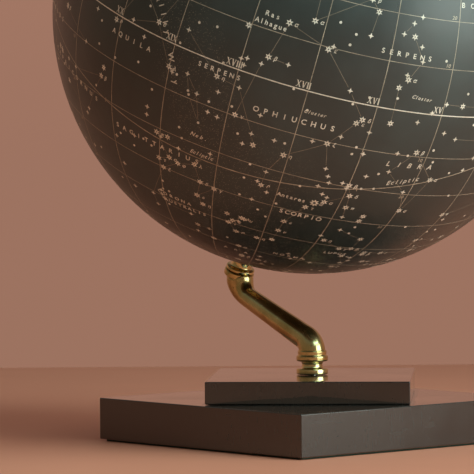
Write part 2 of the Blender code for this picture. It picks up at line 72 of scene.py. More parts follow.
class Sheet:
    """A node tree being written, with short calls to add and join its nodes."""

    def __init__(self, tree: bpy.types.NodeTree) -> None:
        """Takes the tree to write in."""
        self.tree = tree

    def set(self, socket: bpy.types.NodeSocket, value: Any) -> None:
        """Joins an output to the socket, or sets its constant."""
        if isinstance(value, bpy.types.NodeSocket):
            self.tree.links.new(value, socket)
        elif value is not None:
            socket.default_value = value

    def fill(self, node: bpy.types.Node, values: dict[str, Any]) -> bpy.types.Node:
        """Sets a node's inputs by name and returns the node."""
        for name, value in values.items():
            self.set(node.inputs[name], value)
        return node

    def add(self, kind: str, values: dict[str, Any] | None = None, **settings: Any) -> bpy.types.Node:
        """Adds a node, with its inputs by name and its own properties, and returns it.

        Args:
            kind: the node's type name.
            values: its inputs by name.
            settings: its own properties.

        Returns:
            The new node.
        """
        made = self.tree.nodes.new(kind)
        for key, value in settings.items():
            setattr(made, key, value)
        return self.fill(made, values or {})

    def math(self, operation: str, *values: Any) -> Any:
        """Adds a Math node and returns its output."""
        made = self.add("ShaderNodeMath", operation=operation)
        for socket, value in zip(made.inputs, values):
            self.set(socket, value)
        return made.outputs[0]

    def vector(self, operation: str, *values: Any) -> bpy.types.Node:
        """Adds a Vector Math node and returns it."""
        made = self.add("ShaderNodeVectorMath", operation=operation)
        for socket, value in zip(made.inputs, values):
            self.set(socket, value)
        return made

    def span(
        self, value: Any, low: Any, high: Any, to_low: float = 0.0, to_high: float = 1.0
    ) -> Any:
        """Maps a value from one range to another, held at its ends, and returns the output."""
        values = {"Value": value, "From Min": low, "From Max": high}
        values |= {"To Min": to_low, "To Max": to_high}
        made = self.add("ShaderNodeMapRange", values, interpolation_type="SMOOTHSTEP")
        return made.outputs["Result"]

    def mix(self, share: Any, first: Any, second: Any) -> Any:
        """Mixes two colours and returns the colour output.

        Args:
            share: how much of the second.
            first: a colour or an output.
            second: a colour or an output.

        Returns:
            The mixed colour.
        """
        made = self.add("ShaderNodeMix", data_type="RGBA")
        self.set(made.inputs[0], share)
        for socket, colour in ((made.inputs[6], first), (made.inputs[7], second)):
            self.set(socket, (*colour, 1.0) if isinstance(colour, tuple) else colour)
        return made.outputs[2]

    def noise(self, place: Any, scale: Any, detail: float = 3.0, roughness: float = 0.5) -> Any:
        """Adds noise and returns its value."""
        values = {"Vector": place, "Scale": scale, "Detail": detail, "Roughness": roughness}
        return self.add("ShaderNodeTexNoise", values).outputs[0]

    def split(self, value: Any) -> bpy.types.NodeOutputs:
        """Splits a vector and returns its three parts."""
        return self.add("ShaderNodeSeparateXYZ", {"Vector": value}).outputs

    def group(self, tree: bpy.types.NodeTree, **values: Any) -> Any:
        """Places a node group, with its inputs by name, and returns its output."""
        kind = "GeometryNodeGroup" if tree.bl_idname == "GeometryNodeTree" else "ShaderNodeGroup"
        return self.fill(self.add(kind, node_tree=tree), values).outputs[0]


def new_group(
    name: str, kind: str, inputs: dict[str, tuple[str, Any]], output: str
) -> tuple[Sheet, bpy.types.NodeOutputs, bpy.types.NodeSocket]:
    """Starts a node group.

    Args:
        name: the group's name.
        kind: Shader or Geometry.
        inputs: the socket type and default of each named input.
        output: the socket type of its output.

    Returns:
        The sheet to write in, the group's inputs and the socket that its result goes to.
    """
    tree = bpy.data.node_groups.new(name, f"{kind}NodeTree")
    for label, (socket_type, default) in inputs.items():
        made = tree.interface.new_socket(name=label, in_out="INPUT", socket_type=socket_type)
        if default is not None:
            made.default_value = default
    label = "Geometry" if output == GEOMETRY else "Mask"
    tree.interface.new_socket(name=label, in_out="OUTPUT", socket_type=output)
    sheet = Sheet(tree)
    return sheet, sheet.add("NodeGroupInput").outputs, sheet.add("NodeGroupOutput").inputs[0]


@cache
def mottle_group() -> bpy.types.NodeTree:
    """The shared uneven tone of a hand-finished surface, as a mask."""
    inputs = {"Vector": (VECTOR, None), "Scale": (FLOAT, 20.0)}
    sheet, given, result = new_group("mottle", "Shader", inputs, FLOAT)
    sheet.set(result, sheet.span(sheet.noise(given["Vector"], given["Scale"], 7.0, 0.6), 0.35, 0.65))
    return sheet.tree


@cache
def speck_group() -> bpy.types.NodeTree:
    """Round specks, such as dust or printed stipple, as a mask."""
    inputs = {"Vector": (VECTOR, None), "Scale": (FLOAT, 500.0)}
    inputs |= {"Size": (FLOAT, 0.3), "Share": (FLOAT, 0.5)}
    sheet, given, result = new_group("specks", "Shader", inputs, FLOAT)
    values = {"Vector": given["Vector"], "Scale": given["Scale"]}
    cells = sheet.add("ShaderNodeTexVoronoi", values).outputs
    chance = sheet.add("ShaderNodeSeparateColor", {"Color": cells["Color"]}).outputs
    kept = sheet.math("LESS_THAN", chance[0], given["Share"])
    size = sheet.math("MULTIPLY", sheet.math("MULTIPLY_ADD", chance[1], 0.6, 0.5), given["Size"])
    inside = sheet.span(cells["Distance"], size, sheet.math("MULTIPLY", size, 0.7))
    sheet.set(result, sheet.math("MULTIPLY", inside, kept))
    return sheet.tree


@cache
def scratch_group() -> bpy.types.NodeTree:
    """Fine polishing scratches that run two ways, as a height."""
    inputs = {"Vector": (VECTOR, None), "Scale": (FLOAT, 60.0)}
    sheet, given, result = new_group("fine_scratches", "Shader", inputs, FLOAT)
    lines = []
    for stretch, turn in (((1.0, 22.0, 3.0), 0.4), ((18.0, 1.0, 4.0), 1.1)):
        values = {"Vector": given["Vector"], "Scale": stretch, "Rotation": (0.3, turn, turn)}
        place = sheet.add("ShaderNodeMapping", values).outputs[0]
        lines.append(sheet.span(sheet.noise(place, given["Scale"]), 0.58, 0.72))
    sheet.set(result, sheet.math("MAXIMUM", *lines))
    return sheet.tree


# ------------------------------------------------------------------ finishes


class Pattern(Enum):
    """What a finish's fine structure is."""

    METAL = "metal"
    LACQUERED = "lacquered"
    PAPER = "paper"
    INK = "ink"
    FIBROUS = "fibrous"
    WOOD = "wood"


def toned(colour: Rgb, factor: float) -> Rgb:
    """A colour made lighter or darker."""
    return tuple(part * factor for part in colour)


@dataclass(frozen=True)
class Finish:
    """A material's look. The two colours are mixed by the mottle mask."""

    name: str
    slot: str
    pattern: Pattern
    dark: Rgb
    light: Rgb
    mottle_scale: float
    rough_low: float
    rough_high: float
    metallic: float = 0.0
    coat: float = 0.0
    coat_roughness: float = 0.03
    bump: float = 0.00002
    bump_scale: float = 400.0
    specular: float = 0.5

    @cache
    def material(self) -> bpy.types.Material:
        """Builds the material once and returns it."""
        made = bpy.data.materials.new(self.name)
        made.use_nodes = True
        made.diffuse_color = (*self.light, 1.0)
        sheet = Sheet(made.node_tree)
        coords = sheet.add("ShaderNodeTexCoord").outputs["Object"]
        mottle = sheet.group(mottle_group(), Vector=coords, Scale=self.mottle_scale)
        colour = sheet.mix(mottle, self.dark, self.light)
        rough = sheet.span(mottle, 0.0, 1.0, self.rough_low, self.rough_high)
        colour, rough, height = self.dress(sheet, coords, colour, rough)
        relief = {"Strength": 1.0, "Distance": self.bump, "Height": height}
        bump = sheet.add("ShaderNodeBump", relief).outputs[0]
        values = {
            "Base Color": colour,
            "Roughness": rough,
            "Normal": bump,
            "Metallic": self.metallic,
            "Coat Weight": self.coat,
            "Coat Roughness": self.coat_roughness,
            "Coat Normal": bump if self.coat else None,
            "Specular IOR Level": self.specular,
        }
        sheet.fill(made.node_tree.nodes["Principled BSDF"], values)
        return made

    def dress(self, sheet: Sheet, coords: Any, colour: Any, rough: Any) -> tuple[Any, Any, Any]:
        """Adds the pattern's own structure.

        Args:
            sheet: the material's sheet.
            coords: the object coordinates.
            colour: the mottled colour.
            rough: the mottled roughness.

        Returns:
            The colour, the roughness and the bump height.
        """
        height = sheet.noise(coords, self.bump_scale)
        if self.pattern is Pattern.METAL:
            scratch = sheet.group(scratch_group(), Vector=coords, Scale=90.0)
            rough = sheet.math("MULTIPLY_ADD", scratch, 0.05, rough)
            pits = sheet.group(speck_group(), Vector=coords, Scale=420.0, Size=0.20, Share=0.10)
            colour = sheet.mix(pits, colour, toned(self.dark, 0.35))
            waves = sheet.noise(coords, 70.0, 1.0)
            height = sheet.math("MULTIPLY_ADD", waves, 2.4, sheet.math("MULTIPLY", height, 0.25))
        if self.pattern is Pattern.LACQUERED:
            colour, rough = self.dusted(sheet, coords, colour, rough)
            height = sheet.noise(coords, self.bump_scale, 1.0)
        if self.pattern is Pattern.WOOD:
            place = sheet.add("ShaderNodeMapping", {"Vector": coords, "Scale": (1.0, 1.0, 0.06)})
            height = sheet.noise(place.outputs[0], 900.0, 5.0)
            colour = sheet.mix(sheet.span(height, 0.45, 0.75), colour, toned(self.dark, 0.6))
        if self.pattern is Pattern.FIBROUS:
            tufts = sheet.noise(coords, 2400.0, 4.0)
            colour = sheet.mix(sheet.span(tufts, 0.4, 0.7), colour, toned(self.light, 1.5))
            height = sheet.math("ADD", height, tufts)
        if self.pattern is Pattern.INK:
            worn = sheet.span(sheet.noise(coords, 1500.0, 4.0), 0.24, 0.44)
            colour = sheet.mix(worn, toned(self.dark, 0.55), colour)
        if self.pattern is Pattern.PAPER:
            colour, height = self.printed(sheet, coords, colour, height)
        return colour, rough, height

    def dusted(self, sheet: Sheet, coords: Any, colour: Any, rough: Any) -> tuple[Any, Any]:
        """Lays thin dust and lint on the faces that look up, and a pale strip along the foot of the upper
        plinth.
        """
        upward = sheet.add("ShaderNodeNewGeometry").outputs["Normal"]
        upward = sheet.span(sheet.split(upward)["Z"], 0.6, 0.95)
        fine = sheet.group(speck_group(), Vector=coords, Scale=650.0, Size=0.22, Share=0.22)
        coarse = sheet.group(speck_group(), Vector=coords, Scale=210.0, Size=0.12, Share=0.16)
        cloud = sheet.span(sheet.noise(coords, 28.0, 4.0), 0.40, 0.75, 0.15, 1.0)
        uneven = sheet.span(cloud, 0.0, 1.0, 0.25, 0.5)
        # a pale strip on the lower plinth's top along the upper plinth's sides, unevenly strong, joined with
        # the dust specks in one mask
        pale_strip = sheet.math("MULTIPLY", self.ledge(sheet, coords), uneven)
        specks = sheet.math("MULTIPLY", sheet.math("MAXIMUM", fine, coarse), cloud)
        dust = sheet.math("MULTIPLY", sheet.math("MAXIMUM", specks, pale_strip), upward)
        colour = sheet.mix(sheet.math("MULTIPLY", dust, 0.55), colour, (0.42, 0.34, 0.29))
        scratch = sheet.group(scratch_group(), Vector=coords, Scale=40.0)
        rough = sheet.math("MULTIPLY_ADD", scratch, 0.05, rough)
        return colour, sheet.math("MULTIPLY_ADD", dust, 0.5, rough)

    def ledge(self, sheet: Sheet, coords: Any) -> Any:
        """Masks a pale strip on the lower plinth's top, along the foot of the turned upper plinth's sides."""
        east, north, _ = sheet.split(coords)
        sides = [sheet.math("ABSOLUTE", sheet.math(way, east, north)) for way in ("ADD", "SUBTRACT")]
        outward = sheet.math("MAXIMUM", *sides)
        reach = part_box("upper_plinth")[1].x  # half its diagonal, which is also where x + y ends
        fading = sheet.span(outward, reach + 0.0045, reach + 0.0010)
        outside = sheet.span(outward, reach - 0.0001, reach + 0.0003)
        return sheet.math("MULTIPLY", fading, outside)

    def printed(self, sheet: Sheet, coords: Any, colour: Any, height: Any) -> tuple[Any, Any]:
        """Prints the stippled Milky Way on the black ground and lays the paper's faint cockle."""
        from_centre = sheet.vector("SUBTRACT", coords, tuple(SKY.centre)).outputs[0]
        unit = sheet.vector("NORMALIZE", from_centre).outputs[0]
        galactic, bulge = (
            sheet.vector("DOT_PRODUCT", unit, tuple(SKY.aim(place))).outputs["Value"]
            for place in (GALACTIC_POLE, GALACTIC_CENTRE)
        )
        wander = sheet.noise(coords, 16.0, 5.0)
        shaken = sheet.math("MULTIPLY_ADD", wander, 0.26, sheet.math("ABSOLUTE", galactic))
        near = sheet.math("MULTIPLY", sheet.span(bulge, 0.92, 0.99), 0.8)
        density = sheet.math("MAXIMUM", sheet.span(shaken, 0.30, 0.20), near)
        fine = sheet.group(speck_group(), Vector=coords, Scale=1150.0, Size=0.36, Share=0.62)
        stipple = sheet.math("MULTIPLY", fine, density)
        colour = sheet.mix(sheet.math("MULTIPLY", stipple, 0.42), colour, (0.40, 0.36, 0.28))
        rubbed = sheet.span(sheet.noise(coords, 9.0, 6.0), 0.62, 0.80)
        colour = sheet.mix(sheet.math("MULTIPLY", rubbed, 0.35), colour, (0.050, 0.034, 0.024))
        cockle = sheet.noise(coords, 34.0, 2.0)
        return colour, sheet.math("MULTIPLY_ADD", cockle, 3.0, sheet.math("MULTIPLY", height, 0.4))


BRASS_CAST = Finish(
    "brass_cast_polished", "polished_brass", Pattern.METAL, (0.50, 0.385, 0.150),
    (0.76, 0.64, 0.315), 38.0, 0.14, 0.23, 1.0, bump=0.00007, bump_scale=900.0,
)
BRASS_TURNED = Finish(
    "brass_turned_polished", "polished_brass", Pattern.METAL, (0.54, 0.43, 0.18),
    (0.80, 0.70, 0.36), 55.0, 0.11, 0.19, 1.0, bump=0.00003, bump_scale=1400.0,
)
LACQUER = Finish(
    "lacquer_black", "black_lacquer", Pattern.LACQUERED, (0.0120, 0.0085, 0.0068),
    (0.0215, 0.0150, 0.0118), 14.0, 0.16, 0.26, 0.0, 1.0, 0.03, 0.00003, 120.0,
)
SKY_PAPER = Finish(
    "sky_paper_varnished", "printed_paper", Pattern.PAPER, (0.0235, 0.0385, 0.0370),
    (0.0385, 0.0580, 0.0550), 12.0, 0.42, 0.56, 0.0, 0.31, 0.30, 0.00010, 1200.0, 0.7,
)
INK = Finish(
    "ink_cream", "printed_paper", Pattern.INK, (0.76, 0.70, 0.57),
    (0.97, 0.92, 0.79), 160.0, 0.42, 0.56, 0.0, 0.4, 0.15, 0.00001, 1200.0, 0.30,
)
INK_LINE = replace(INK, name="ink_fine_line", dark=(0.36, 0.31, 0.235), light=(0.56, 0.49, 0.375))
INK_JOIN = replace(INK, name="ink_join_line", dark=(0.22, 0.19, 0.145), light=(0.33, 0.285, 0.215))
FELT = Finish(
    "felt_green", "green_felt", Pattern.FIBROUS, (0.018, 0.040, 0.028),
    (0.034, 0.062, 0.045), 60.0, 0.9, 1.0, bump=0.0003,
)
STEEL = Finish(
    "steel_bright", "bright_steel", Pattern.METAL, (0.42, 0.42, 0.41),
    (0.60, 0.60, 0.58), 80.0, 0.22, 0.36, 1.0,
)
ZINC = Finish(
    "steel_zinc_plated", "zinc_plated_steel", Pattern.METAL, (0.44, 0.45, 0.47),
    (0.63, 0.63, 0.62), 120.0, 0.32, 0.48, 1.0,
)
BOARD = Finish(
    "board_pasted", "pasteboard", Pattern.FIBROUS, (0.30, 0.22, 0.14),
    (0.44, 0.35, 0.24), 45.0, 0.8, 0.92, bump=0.0001,
)
BEECH = Finish(
    "beech_turned", "beech", Pattern.WOOD, (0.42, 0.27, 0.14),
    (0.56, 0.39, 0.22), 35.0, 0.5, 0.65, bump=0.00005,
)
FIBRE = Finish(
    "fibre_red", "red_fibre", Pattern.FIBROUS, (0.17, 0.035, 0.022),
    (0.28, 0.07, 0.045), 150.0, 0.5, 0.65, bump=0.00004,
)


# ------------------------------------------------------------------ meshes


def linked(name: str, data: bpy.types.ID) -> bpy.types.Object:
    """Makes a named object in the scene."""
    made = bpy.data.objects.new(name, data)
    bpy.context.scene.collection.objects.link(made)
    return made


def smooth(mesh: bpy.types.Mesh, sharp: float) -> None:
    """Shades a mesh smooth but for the edges past an angle in degrees."""
    mesh.shade_smooth()
    mesh.set_sharp_from_angle(angle=math.radians(sharp))


def object_of(name: str, mesh: bpy.types.Mesh, finish: Finish) -> bpy.types.Object:
    """Makes a named object of one mesh and one finish."""
    mesh.materials.clear()
    mesh.materials.append(finish.material())
    return linked(name, mesh)


def settle(piece: bpy.types.Object, finish: Finish, body: str, *nodes: str) -> bpy.types.Object:
    """Rides a finished piece on its body, in place of the CAD nodes it stands for.

    Args:
        piece: the object.
        finish: not used.
        body: the body's name.
        nodes: the CAD nodes, if any.

    Returns:
        The piece.
    """
    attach(piece, body)
    if nodes:
        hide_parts(*nodes)
    piece.data.calc_loop_triangles()
    LOG.info("%s: %d triangles on %s", piece.name, len(piece.data.loop_triangles), body)
    return piece


def mesh_of(
    bm: bmesh.types.BMesh, name: str, place: Matrix | None = None, sharp: float = 32.0
) -> bpy.types.Mesh:
    """Turns a closed bmesh into a mesh with its faces out, in place.

    Args:
        bm: the shape, which is freed.
        name: the mesh's name.
        place: where it goes.
        sharp: the angle in degrees past which an edge is drawn sharp.

    Returns:
        The mesh.
    """
    bmesh.ops.remove_doubles(bm, verts=bm.verts, dist=1e-7)
    bmesh.ops.recalc_face_normals(bm, faces=bm.faces)
    mesh = bpy.data.meshes.new(name)
    bm.to_mesh(mesh)
    bm.free()
    if place is not None:
        mesh.transform(place)
    smooth(mesh, sharp)
    return mesh


def turned(
    name: str, outline: Profile, finish: Finish, segments: int,
    place: Matrix = Matrix(), sharp: float = 32.0,
) -> bpy.types.Object:
    """Makes a turned solid.

    Args:
        name: the object's name.
        outline: (radius, height) points, closed unless it starts and ends on the axis.
        finish: its finish.
        segments: steps round the axis.
        place: where the solid goes.
        sharp: the angle in degrees past which an edge is drawn sharp.

    Returns:
        The object.
    """
    bm = bmesh.new()
    rows: list[list[bmesh.types.BMVert]] = []
    for radius, height in outline:
        row = []
        for i in range(1 if radius < TINY else segments):
            angle = TURN * i / segments
            at = Vector((radius * math.cos(angle), radius * math.sin(angle), height))
            row.append(bm.verts.new(place @ at))
        rows.append(row)
    pairs = list(zip(rows, rows[1:]))
    if outline[0][0] > TINY:
        pairs.append((rows[-1], rows[0]))
    for low, high in pairs:
        for i in range(segments):
            j = (i + 1) % segments
            corners = [row[k % len(row)] for row, k in ((low, i), (low, j), (high, j), (high, i))]
            corners = list(dict.fromkeys(corners))  # a point on the axis comes once
            if len(corners) > 2:
                bm.faces.new(corners)
    return object_of(name, mesh_of(bm, name, sharp=sharp), finish)


def ring(inner: float, outer: float, low: float, high: float) -> Profile:
    """The outline of a plain ring, or of a disc where inner is nothing."""
    return [(inner, low), (outer, low), (outer, high), (inner, high)]


def ease(low: float, high: float, share: float) -> float:
    """Eases from one value to another."""
    return low + (high - low) * share * share * (3.0 - 2.0 * share)


def rounded(points: Profile, radius: float, steps: int = 4, closed: bool = True) -> Profile:
    """Rounds each corner of an outline.

    Args:
        points: the outline.
        radius: how far from a corner the rounding starts.
        steps: points on each corner, less one.
        closed: whether the first and last corners are rounded too. One on the axis never is.

    Returns:
        The rounded outline.
    """
    made: Profile = []
    count = len(points)
    for i, here in enumerate(points):
        before = Vector(points[i - 1])
        after = Vector(points[(i + 1) % count])
        corner = Vector(here)
        on_end = here[0] < TINY or (before - corner).length < TINY
        on_end = on_end or (not closed and i in (0, count - 1))
        arrive = (corner - before).normalized() if not on_end else Vector((0.0, 0.0))
        leave = (after - corner).normalized()
        if on_end or arrive.dot(leave) > 0.9:
            made.append(here)
            continue
        reach = min(radius, (corner - before).length * 0.45, (after - corner).length * 0.45)
        first = corner - arrive * reach
        last = corner + leave * reach
        for step in range(steps + 1):
            t = step / steps
            point = first * (1 - t) ** 2 + corner * 2 * t * (1 - t) + last * t * t
            made.append((point.x, point.y))
    return made


def waist(neck: float, wide: float, low: float, high: float, steps: int = 14) -> Profile:
    """A hollow between two heights, from wide in to neck and out again.

    Args:
        neck: the least radius.
        wide: the radius at both ends.
        low: the lower height.
        high: the upper height.
        steps: points along it, less one.

    Returns:
        The outline.
    """
    made = []
    for i in range(steps + 1):
        angle = math.pi * i / steps
        height = low + (high - low) * (1.0 - math.cos(angle)) / 2.0
        made.append((wide - (wide - neck) * math.sin(angle), height))
    return made


def swept(
    bm: bmesh.types.BMesh, stations: list[tuple[Vector, Vector, float]], segments: int
) -> None:
    """Adds a round bar of changing radius along stations in the XZ plane, closed at both ends."""
    rings = []
    for point, tangent, radius in stations:
        side = LEVEL.cross(tangent).normalized()
        angles = [TURN * i / segments for i in range(segments)]
        around = [point + (side * math.cos(a) + LEVEL * math.sin(a)) * radius for a in angles]
        rings.append([bm.verts.new(at) for at in around])
    for low, high in zip(rings, rings[1:]):
        for i in range(segments):
            j = (i + 1) % segments
            bm.faces.new((low[i], low[j], high[j], high[i]))
    bm.faces.new(rings[0])
    bm.faces.new(rings[-1])


def cut(
    target: bpy.types.Object, cutters: list[bpy.types.Object], operation: str = "DIFFERENCE"
) -> None:
    """Cuts or joins solids exactly, and leaves one plain mesh on the target.

    Args:
        target: the solid that stays.
        cutters: the solids that are used up.
        operation: DIFFERENCE, UNION or INTERSECT.
    """
    for cutter in cutters:
        modifier = target.modifiers.new(cutter.name, "BOOLEAN")
        modifier.object = cutter
        modifier.operation = operation
        modifier.solver = "EXACT"
    plain(target)
    for cutter in cutters:
        bpy.data.objects.remove(cutter, do_unlink=True)


def plain(target: bpy.types.Object) -> None:
    """Replaces an object's mesh with its evaluated one, and drops its modifiers."""
    graph = bpy.context.evaluated_depsgraph_get()
    made = bpy.data.meshes.new_from_object(target.evaluated_get(graph))
    made.name = target.name
    target.modifiers.clear()
    target.data = made


def true_flats(target: bpy.types.Object, sharp: float) -> None:
    """Shades rounded arrises smooth while the broad faces stay flat."""
    smooth(target.data, sharp)
    modifier = target.modifiers.new("broad_faces_flat", "WEIGHTED_NORMAL")
    modifier.weight = 100
    modifier.keep_sharp = True
    plain(target)


# ------------------------------------------------------------------ the sky's frame


def sphere_point(along: float, up: float, radius: float = 1.0) -> Vector:
    """A point on a sphere, from its two angles in radians."""
    level = radius * math.cos(up)
    return Vector((level * math.cos(along), level * math.sin(along), radius * math.sin(up)))


@dataclass(frozen=True)
class Sky:
    """The globe's own frame, and the places on it."""

    centre: Vector
    pole: Vector
    radius: float = 0.1524
    equinox: float = 214.07  # degrees round the axle, from down the slope to hour 0 of the print

    def matrix(self) -> Matrix:
        """The placing of the globe's frame: Z up the axle, Y level."""
        down = LEVEL.cross(self.pole).normalized()
        turn = Matrix((down, LEVEL, self.pole)).transposed().to_4x4()
        return Matrix.Translation(self.centre) @ turn

    def local(self, hours: float, declination: float) -> Vector:
        """The unit vector of a place on the map, in the globe's frame."""
        along = math.radians(self.equinox - 15.0 * hours)
        up = math.radians(declination)
        return sphere_point(along, up)

    def aim(self, place: tuple[float, float]) -> Vector:
        """The direction of a place on the map, in the object's frame."""
        return self.matrix().to_3x3() @ self.local(*place)


GALACTIC_POLE = (12.78, 27.6)
GALACTIC_CENTRE = (17.66, -28.9)
SPIN = next(joint for joint in frame["joints"] if joint["name"] == "globe_spin")
SKY = Sky(Vector(SPIN["pos_m"]), Vector(SPIN["axis"]).normalized())


# ------------------------------------------------------------------ grown geometry


BAND_INPUTS = {
    "Radius": (FLOAT, 0.1524),
    "Width": (FLOAT, 0.0004),
    "Thickness": (FLOAT, 0.00008),
    "Material": (MATERIAL, None),
}


def grow(
    name: str, tree: bpy.types.NodeTree, values: dict[str, Any], base: bpy.types.Mesh | None = None
) -> bpy.types.Object:
    """Runs a Geometry Nodes tree and keeps its result as a plain mesh.

    Args:
        name: the new object's name.
        tree: the tree.
        values: the modifier's inputs by name.
        base: the mesh that the tree starts from.

    Returns:
        The object, with no modifier left on it.
    """
    made = linked(name, base or bpy.data.meshes.new(name))
    modifier = made.modifiers.new(tree.name, "NODES")
    modifier.node_group = tree
    for item in tree.interface.items_tree:
        if item.item_type == "SOCKET" and item.in_out == "INPUT" and item.name in values:
            modifier[item.identifier] = values[item.name]
    plain(made)
    return made


def paint(sheet: Sheet, given: Any, result: bpy.types.NodeSocket, geometry: Any) -> None:
    """Ends a tree: makes its copies real and gives them the Material input.

    Args:
        sheet: the tree's sheet.
        given: the tree's inputs.
        result: the socket of its result.
        geometry: what has been made.
    """
    whole = sheet.add("GeometryNodeRealizeInstances", {"Geometry": geometry}).outputs[0]
    values = {"Geometry": whole, "Material": given["Material"]}
    sheet.set(result, sheet.add("GeometryNodeSetMaterial", values).outputs[0])


@cache
def ribbon_group() -> bpy.types.NodeTree:
    """The shared step that lays a flat band of ink along curves on a sphere."""
    inputs = {name: BAND_INPUTS[name] for name in ("Width", "Thickness", "Material")}
    inputs = {"Curve": (GEOMETRY, None), **inputs}
    sheet, given, result = new_group("ink_band", "Geometry", inputs, GEOMETRY)
    place = sheet.add("GeometryNodeInputPosition").outputs[0]
    outward = sheet.vector("NORMALIZE", place).outputs[0]
    values = {"Curve": given["Curve"], "Normal": outward}
    curve = sheet.add("GeometryNodeSetCurveNormal", values, mode="FREE").outputs[0]
    values = {"Width": given["Thickness"], "Height": given["Width"]}
    section = sheet.add("GeometryNodeCurvePrimitiveQuadrilateral", values, mode="RECTANGLE")
    values = {"Curve": curve, "Profile Curve": section.outputs[0], "Fill Caps": True}
    paint(sheet, given, result, sheet.add("GeometryNodeCurveToMesh", values).outputs[0])
    return sheet.tree


def end_in_band(sheet: Sheet, given: Any, result: bpy.types.NodeSocket, curve: Any) -> None:
    """Ends a tree with the ink band, on the tree's own Width, Thickness and Material inputs."""
    whole = sheet.add("GeometryNodeRealizeInstances", {"Geometry": curve}).outputs[0]
    values = {name: given[name] for name in ("Width", "Thickness", "Material")}
    sheet.set(result, sheet.group(ribbon_group(), Curve=whole, **values))


def lifted(sheet: Sheet, given: Any) -> tuple[Any, Any]:
    """Moves a tree's points out to its Radius, and returns them with their directions.

    Args:
        sheet: the tree's sheet.
        given: the tree's inputs.

    Returns:
        The geometry and the directions.
    """
    place = sheet.add("GeometryNodeInputPosition").outputs[0]
    unit = sheet.vector("NORMALIZE", place).outputs[0]
    out = sheet.fill(sheet.vector("SCALE", unit), {"Scale": given["Radius"]}).outputs[0]
    values = {"Geometry": given["Geometry"], "Position": out}
    return sheet.add("GeometryNodeSetPosition", values).outputs[0], unit


def copied(sheet: Sheet, **values: Any) -> Any:
    """Places a copy of Instance on each of Points, and returns the copies."""
    return sheet.add("GeometryNodeInstanceOnPoints", values).outputs[0]


def combined(sheet: Sheet, **values: Any) -> Any:
    """Makes a vector of its X, Y and Z, and returns it."""
    return sheet.add("ShaderNodeCombineXYZ", values).outputs[0]


def hour_circle_tree() -> bpy.types.NodeTree:
    """Half circles from near one pole to near the other, repeated round the axle."""
    inputs = {"Count": (COUNT, 24), "Reach": (FLOAT, 1.4), "First": (FLOAT, 0.0), **BAND_INPUTS}
    sheet, given, result = new_group("hour_circles", "Geometry", inputs, GEOMETRY)
    values = {
        "Resolution": 161,
        "Radius": given["Radius"],
        "Start Angle": sheet.math("MULTIPLY", given["Reach"], -1.0),
        "Sweep Angle": sheet.math("MULTIPLY", given["Reach"], 2.0),
    }
    arc = sheet.add("GeometryNodeCurveArc", values, mode="RADIUS").outputs[0]
    values = {"Geometry": arc, "Rotation": (math.pi / 2.0, 0.0, 0.0)}
    upright = sheet.add("GeometryNodeTransform", values).outputs[0]
    points = sheet.add("GeometryNodePoints", {"Count": given["Count"]}).outputs[0]
    index = sheet.add("GeometryNodeInputIndex").outputs[0]
    step = sheet.math("DIVIDE", TURN, given["Count"])
    turn = combined(sheet, Z=sheet.math("MULTIPLY_ADD", index, step, given["First"]))
    copies = copied(sheet, Points=points, Instance=upright, Rotation=turn)
    end_in_band(sheet, given, result, copies)
    return sheet.tree


def parallel_tree() -> bpy.types.NodeTree:
    """Circles of equal declination, an equal step apart."""
    inputs = {"Count": (COUNT, 17), "Step": (FLOAT, 0.1745), **BAND_INPUTS}
    sheet, given, result = new_group("parallels", "Geometry", inputs, GEOMETRY)
    values = {"Resolution": 360, "Radius": given["Radius"]}
    circle = sheet.add("GeometryNodeCurvePrimitiveCircle", values, mode="RADIUS").outputs[0]
    index = sheet.add("GeometryNodeInputIndex").outputs[0]
    middle = sheet.math("MULTIPLY", sheet.math("SUBTRACT", given["Count"], 1.0), 0.5)
    angle = sheet.math("MULTIPLY", sheet.math("SUBTRACT", index, middle), given["Step"])
    place = combined(sheet, Z=sheet.math("MULTIPLY", sheet.math("SINE", angle), given["Radius"]))
    values = {"Count": given["Count"], "Position": place}
    points = sheet.add("GeometryNodePoints", values).outputs[0]
    across = sheet.math("COSINE", angle)
    shrink = combined(sheet, X=across, Y=across, Z=1.0)
    copies = copied(sheet, Points=points, Instance=circle, Scale=shrink)
    end_in_band(sheet, given, result, copies)
    return sheet.tree


@cache
def traced_tree() -> bpy.types.NodeTree:
    """Ink bands along the edges of the mesh it starts from."""
    inputs = {"Geometry": (GEOMETRY, None), **BAND_INPUTS}
    sheet, given, result = new_group("traced_lines", "Geometry", inputs, GEOMETRY)
    moved, _ = lifted(sheet, given)
    curve = sheet.add("GeometryNodeMeshToCurve", {"Mesh": moved}).outputs[0]
    end_in_band(sheet, given, result, curve)
    return sheet.tree


def stamp_tree() -> bpy.types.NodeTree:
    """One symbol stamped on every point of the mesh it starts from, upright to the north."""
    inputs = {name: BAND_INPUTS[name] for name in ("Radius", "Material")}
    inputs = {"Geometry": (GEOMETRY, None), "Symbol": (OBJECT, None), **inputs}
    sheet, given, result = new_group("star_stamps", "Geometry", inputs, GEOMETRY)
    moved, unit = lifted(sheet, given)
    align = "FunctionNodeAlignRotationToVector"
    facing = sheet.add(align, {"Vector": unit}, axis="Z").outputs[0]
    values = {"Rotation": facing, "Vector": (0.0, 0.0, 1.0)}
    north = sheet.add(align, values, axis="Y", pivot_axis="Z").outputs[0]
    values = {"Object": given["Symbol"]}
    symbol = sheet.add("GeometryNodeObjectInfo", values, transform_space="ORIGINAL")
    symbol = symbol.outputs["Geometry"]
    size = sheet.add("GeometryNodeInputNamedAttribute", {"Name": "size"}, data_type="FLOAT")
    size = size.outputs["Attribute"]
    scale = combined(sheet, X=size, Y=size, Z=1.0)
    copies = copied(sheet, Points=moved, Instance=symbol, Rotation=north, Scale=scale)
    paint(sheet, given, result, copies)
    return sheet.tree


# ------------------------------------------------------------------ base


